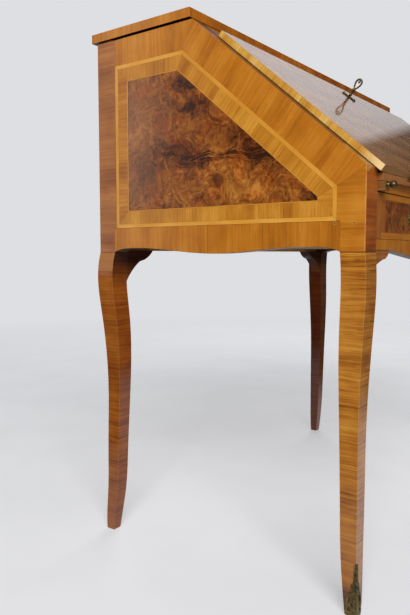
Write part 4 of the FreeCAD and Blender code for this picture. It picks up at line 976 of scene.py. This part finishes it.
def make_escutcheon():
    """A pierced plate with lobes round the keyhole."""
    flat = bpy.data.curves.new("escutcheon_outline", "CURVE")
    flat.dimensions = "2D"
    flat.fill_mode = "BOTH"
    flat.extrude, flat.bevel_depth, flat.bevel_resolution = 0.0003, 0.00045, 2

    def loop(points):
        spline = flat.splines.new("POLY")
        spline.points.add(len(points) - 1)
        for point, (a, b) in zip(spline.points, points):
            point.co = (MM * a, MM * b, 0, 1)
        spline.use_cyclic_u = True

    rim = []
    for t in angles(96):
        lobe = 0.80 + 0.17 * abs(math.cos(4 * t)) ** 0.8
        long = 20.5 * (0.72 + 0.28 * abs(math.cos(t)) ** 3)
        rim.append((12.5 * lobe * math.sin(t), long * lobe * math.cos(t)))
    loop(rim)
    keyhole = [(3.4 * math.sin(t), 3.4 * math.cos(t)) for t in [math.radians(10 * i - 155) for i in range(32)]]
    loop(keyhole + [(1.6, -11.2), (-1.6, -11.2)])
    for a, b, wide, tall in PLATE_HOLES:
        loop([(a + wide * math.sin(t), b + tall * math.cos(t)) for t in angles(12)])
    holder = linked("escutcheon_outline", flat)
    bpy.context.view_layer.update()
    mesh = bpy.data.meshes.new_from_object(holder.evaluated_get(bpy.context.evaluated_depsgraph_get()))
    bpy.data.objects.remove(holder)
    bm = bmesh.new()
    bm.from_mesh(mesh)
    bmesh.ops.remove_doubles(bm, verts=bm.verts, dist=1e-6)
    for corner in bm.verts:
        a, b, level = corner.co
        dome = 0.0012 * math.exp(-((a / 0.006) ** 2 + (b / 0.010) ** 2)) if level > 0 else 0.0
        corner.co = on_lid(a, KEY_S + b, LID_FACE + 0.00115 + level + dome)
    for side in (-1, 1):
        turn(bm, on_lid(0, KEY_S + side * 0.0158, LID_FACE + 0.0012), SLOPE_OUT, PLATE_PIN, 18)
    add_piece("pierced_escutcheon", bm, "bronze", "lid", "bronze", "key_escutcheon")


# Sabots: distances t run from the foot's corner along its outer face (below 0) and its front face (above 0)

SABOT_LOW, SABOT_TOP = 0.0006, 0.086
SABOT_ROWS, SABOT_COLUMNS = 68, 44
SABOT_BEND = 0.0016
# Half width along either face at heights, both in millimetres
SABOT_WIDTHS = [(0, 15.0), (6, 17.6), (12, 16.0), (18, 18.2), (26, 17.8), (32, 15.0), (37, 12.6), (42, 8.2), (47, 9.0),
                (52, 7.8), (57, 4.6), (64, 3.4), (76, 2.6), (86.5, 0.4)]
# Oval openings: middle and half widths
EYE, SCROLL = (0.0085, 0.027, 0.0034, 0.0075), (0.0112, 0.011, 0.0022, 0.0036)


def sabot_width(z):
    for (z0, w0), (z1, w1) in zip(SABOT_WIDTHS, SABOT_WIDTHS[1:]):
        if z <= z1 * MM:
            return MM * (w0 + (w1 - w0) * (z / MM - z0) / (z1 - z0))


def from_oval(t, z, oval):
    """How far a point is from the middle of an oval whose rim is at 1."""
    return math.hypot((abs(t) - oval[0]) / oval[2], (z - oval[1]) / oval[3])


def sabot_relief(t, z, width):
    """Height of the relief: spine, slanting veins, rolled edges and the eye's rim."""
    reach = min(1.0, abs(t) / width)
    spine = 0.0016 * math.exp(-((t / 0.0022) ** 2))
    veins = 0.0007 * (0.5 + 0.5 * math.cos(2 * math.pi * (z - 0.6 * abs(t)) / 0.0095)) * (1 - reach ** 4)
    roll = 0.0008 * math.exp(-(((reach - 0.9) / 0.10) ** 2))
    rim = 0.0012 * math.exp(-(((from_oval(t, z, EYE) - 1.35) / 0.25) ** 2))
    return 0.0010 + spine + veins + roll + rim


def sabot_row(bm, side, z, face_x, face_y):
    """Corners across a sabot at a height, from its outer face round the foot's corner, each with its distance."""
    width = sabot_width(z)
    for column in range(SABOT_COLUMNS + 1):
        t = width * (2 * column / SABOT_COLUMNS - 1)
        lift = sabot_relief(t, z, width)
        if t < -SABOT_BEND:
            x, y = face_x + side * lift, face_y - t
        elif t > SABOT_BEND:
            x, y = face_x - side * t, face_y - lift
        else:
            angle = (t + SABOT_BEND) / (2 * SABOT_BEND) * math.pi / 2
            reach = SABOT_BEND + lift
            x = face_x - side * (SABOT_BEND - reach * math.cos(angle))
            y = face_y + SABOT_BEND - reach * math.sin(angle)
        yield bm.verts.new((x, y, z)), abs(t)


def make_sabots():
    """Leaf mounts on the outer corner of each front foot, with a spine, lobes and openings."""
    bm = bmesh.new()
    for side, hand in zip((-1, 1), HANDS):
        leg = nodes[f"leg_front_{hand}"].data
        tree = BVHTree.FromPolygons(
            [vertex.co for vertex in leg.vertices], [polygon.vertices for polygon in leg.polygons])
        inner_x, inner_y = side * (HALF - 0.020), FRONT + 0.020
        rows = []
        for row in range(SABOT_ROWS + 1):
            z = SABOT_LOW + (SABOT_TOP - SABOT_LOW) * row / SABOT_ROWS
            face_x = tree.ray_cast(Vector((2 * side * HALF, inner_y, z)), -side * X)[0].x
            face_y = tree.ray_cast(Vector((inner_x, 3 * FRONT, z)), Y)[0].y
            rows.append(list(sabot_row(bm, side, z, face_x, face_y)))
        for low, high in zip(rows, rows[1:]):
            for i in range(SABOT_COLUMNS):
                quad, reach = zip(low[i], low[i + 1], high[i + 1], high[i])
                t, z = sum(reach) / 4, sum(corner.co.z for corner in quad) / 4
                if min(from_oval(t, z, EYE), from_oval(t, z, SCROLL)) >= 1:
                    bm.faces.new(quad)
    loose = [vertex for vertex in bm.verts if not vertex.link_faces]
    bmesh.ops.delete(bm, geom=loose, context="VERTS")
    piece = add_piece("leaf_sabots", bm, "bronze", "carcass", "bronze", "front_sabots")
    shell = piece.modifiers.new("shell", "SOLIDIFY")
    shell.thickness, shell.offset = 0.0012, -1.0


for hand in HANDS:
    make_knob(f"loper_pull_{hand}", f"loper_knob_{hand}", f"loper_{hand}")
    make_knob(f"small_drawer_{hand}_pull", f"small_drawer_{hand}_knob", f"small_drawer_{hand}")
    make_handle(hand)
make_key()
make_escutcheon()
make_sabots()


# Materials of the solids that show as they are: the longest start of a solid's name decides

SHOWN = {
    "leg_wood": ["leg_front"],
    "hind_wood": ["leg_back"],
    "knee_wood": ["back_knee"],
    "core_wood": ["side_panel", "top_board", "front_apron"],
    "rail_wood": ["front", "drawer_muntin"],
    "slope_wood": ["slope_rail"],
    "lid_core": ["lid_board"],
    "loper_wood": ["loper"],
    "deck_wood": ["writing_deck", "pigeonhole_shelf"],
    "upright_wood": ["pigeonhole"],
    "bare_x": ["back", "dust", "drawer_left_back", "drawer_right_back"],
    "bare_y": ["drawer", "small_drawer"],
    "brass": ["hinge"],
    "steel": ["lock"],
}
starts = {start: finish for finish, group in SHOWN.items() for start in group}
for name, node in nodes.items():
    match = max(filter(name.startswith, starts), key=len, default=None)
    if match:
        node.data.materials.clear()
        node.data.materials.append(materials[starts[match]])


# Floor, light and camera: bearings of the pale backdrop and paper are in degrees, each with its edge's softness

BACKGROUND = (222, 223, 226)
AMBIENT = (0.075, 0.075, 0.079, 1.0)
ROOM = (0.05, 0.046, 0.042, 1.0)
BACKDROP = ((14, 0.002), (141, 0.035))
PAPER = ((14, 0.002), (118, 0.035))
MIDDLE = Vector((0.0, 0.0, 0.6))
CAMERA_PLACE, CAMERA_TILT, CAMERA_BEARING = (-1.341, -0.631, 0.561), 85.11, -53.19
SENSOR, FOCAL_LENGTH = 36.0, 36.81
FLOOR_RADIUS = 40.0


def rays(graph, *kinds):
    return [graph.node("LightPath", output=f"Is {kind} Ray") for kind in kinds]


def behind(towards, ends):
    """A mask of the directions between two bearings."""
    mask = 1.0
    for (bearing, soft), sign in zip(ends, (1, -1)):
        angle = math.radians(bearing)
        inward = (-sign * math.sin(angle), sign * math.cos(angle), 0.0)
        within = total((towards.vector("DOT_PRODUCT", inward), 0.5), (1.0, 0.5))
        mask = within.ramp((0.5 - soft, 0.0), (0.5 + soft, 1.0)) * mask
    return mask


def make_floor():
    """A pale floor that fades into the background, and is dim in reflections where no paper lies."""
    graph = material("floor", roughness=0.85)
    place = graph.place()
    graph.set(base_color=place.noise(3.0, 3.0).ramp((0.4, (192, 193, 195)), (0.6, (198, 199, 201))))
    seen, glossy = rays(graph, "Camera", "Glossy")
    away = place.vector("DISTANCE").math("DIVIDE", 10.0)
    dim = (1.0 - behind(place.vector("NORMALIZE"), PAPER)) * away.ramp((0.07, 0.0), (0.12, 1.0)) * glossy

    def glow(colour, strength=1.0):
        return graph.node("Emission", (paint(colour), strength))

    lift = glow(BACKGROUND, seen.math("MAXIMUM", glossy) * 0.48)
    shown = graph.node("AddShader", (Value(graph, graph.shader.outputs[0]), lift))
    for factor, colour in ((away.ramp((0.14, 0.0), (0.42, 1.0)), BACKGROUND), (dim, ROOM)):
        shown = graph.node("MixShader", (factor, shown, glow(colour)))
    graph.feed(graph.find("OUTPUT_MATERIAL"), [shown], ["Surface"])
    bm = bmesh.new()
    bmesh.ops.create_circle(bm, cap_ends=True, segments=96, radius=FLOOR_RADIUS)
    built("floor", bm, "floor")


def make_world():
    """Pale behind the object as the camera sees it, dim on the camera's side, and dimmer as light on the object."""
    world = bpy.data.worlds.new("studio")
    graph = Graph(world, "BACKGROUND")
    seen, glossy, passed = rays(graph, "Camera", "Glossy", "Transmission")
    mirrored = behind(graph.node("TexCoord", output="Generated"), BACKDROP).mix(ROOM, BACKGROUND)
    colour = glossy.math("MAXIMUM", passed).mix(AMBIENT, mirrored)
    graph.set(color=seen.mix(colour, BACKGROUND))
    bpy.context.scene.world = world


def add_lamp(name, place, power, mirrored=True):
    """A soft box aimed at the middle of the object."""
    lamp = bpy.data.lights.new(name, "AREA")
    lamp.energy = power
    lamp.shape = "RECTANGLE"
    lamp.size, lamp.size_y = 2.4, 2.0
    holder = linked(name, lamp)
    holder.location = place
    holder.rotation_euler = (MIDDLE - Vector(place)).to_track_quat("-Z", "Y").to_euler()
    holder.visible_glossy = mirrored


def add_camera():
    lens = bpy.data.cameras.new("camera")
    lens.sensor_fit = "VERTICAL"
    lens.sensor_height, lens.lens = SENSOR, FOCAL_LENGTH
    lens.clip_start, lens.clip_end = 0.05, 100.0
    camera = linked("camera", lens)
    camera.location = CAMERA_PLACE
    camera.rotation_euler = (math.radians(CAMERA_TILT), 0.0, math.radians(CAMERA_BEARING))
    bpy.context.scene.camera = camera


make_floor()
make_world()
add_lamp("key", (-2.85, -2.05, 2.6), 152.0)
add_lamp("fill", (3.0, 1.6, 2.4), 56.0, mirrored=False)
add_camera()
bpy.context.scene.view_settings.view_transform = "Standard"
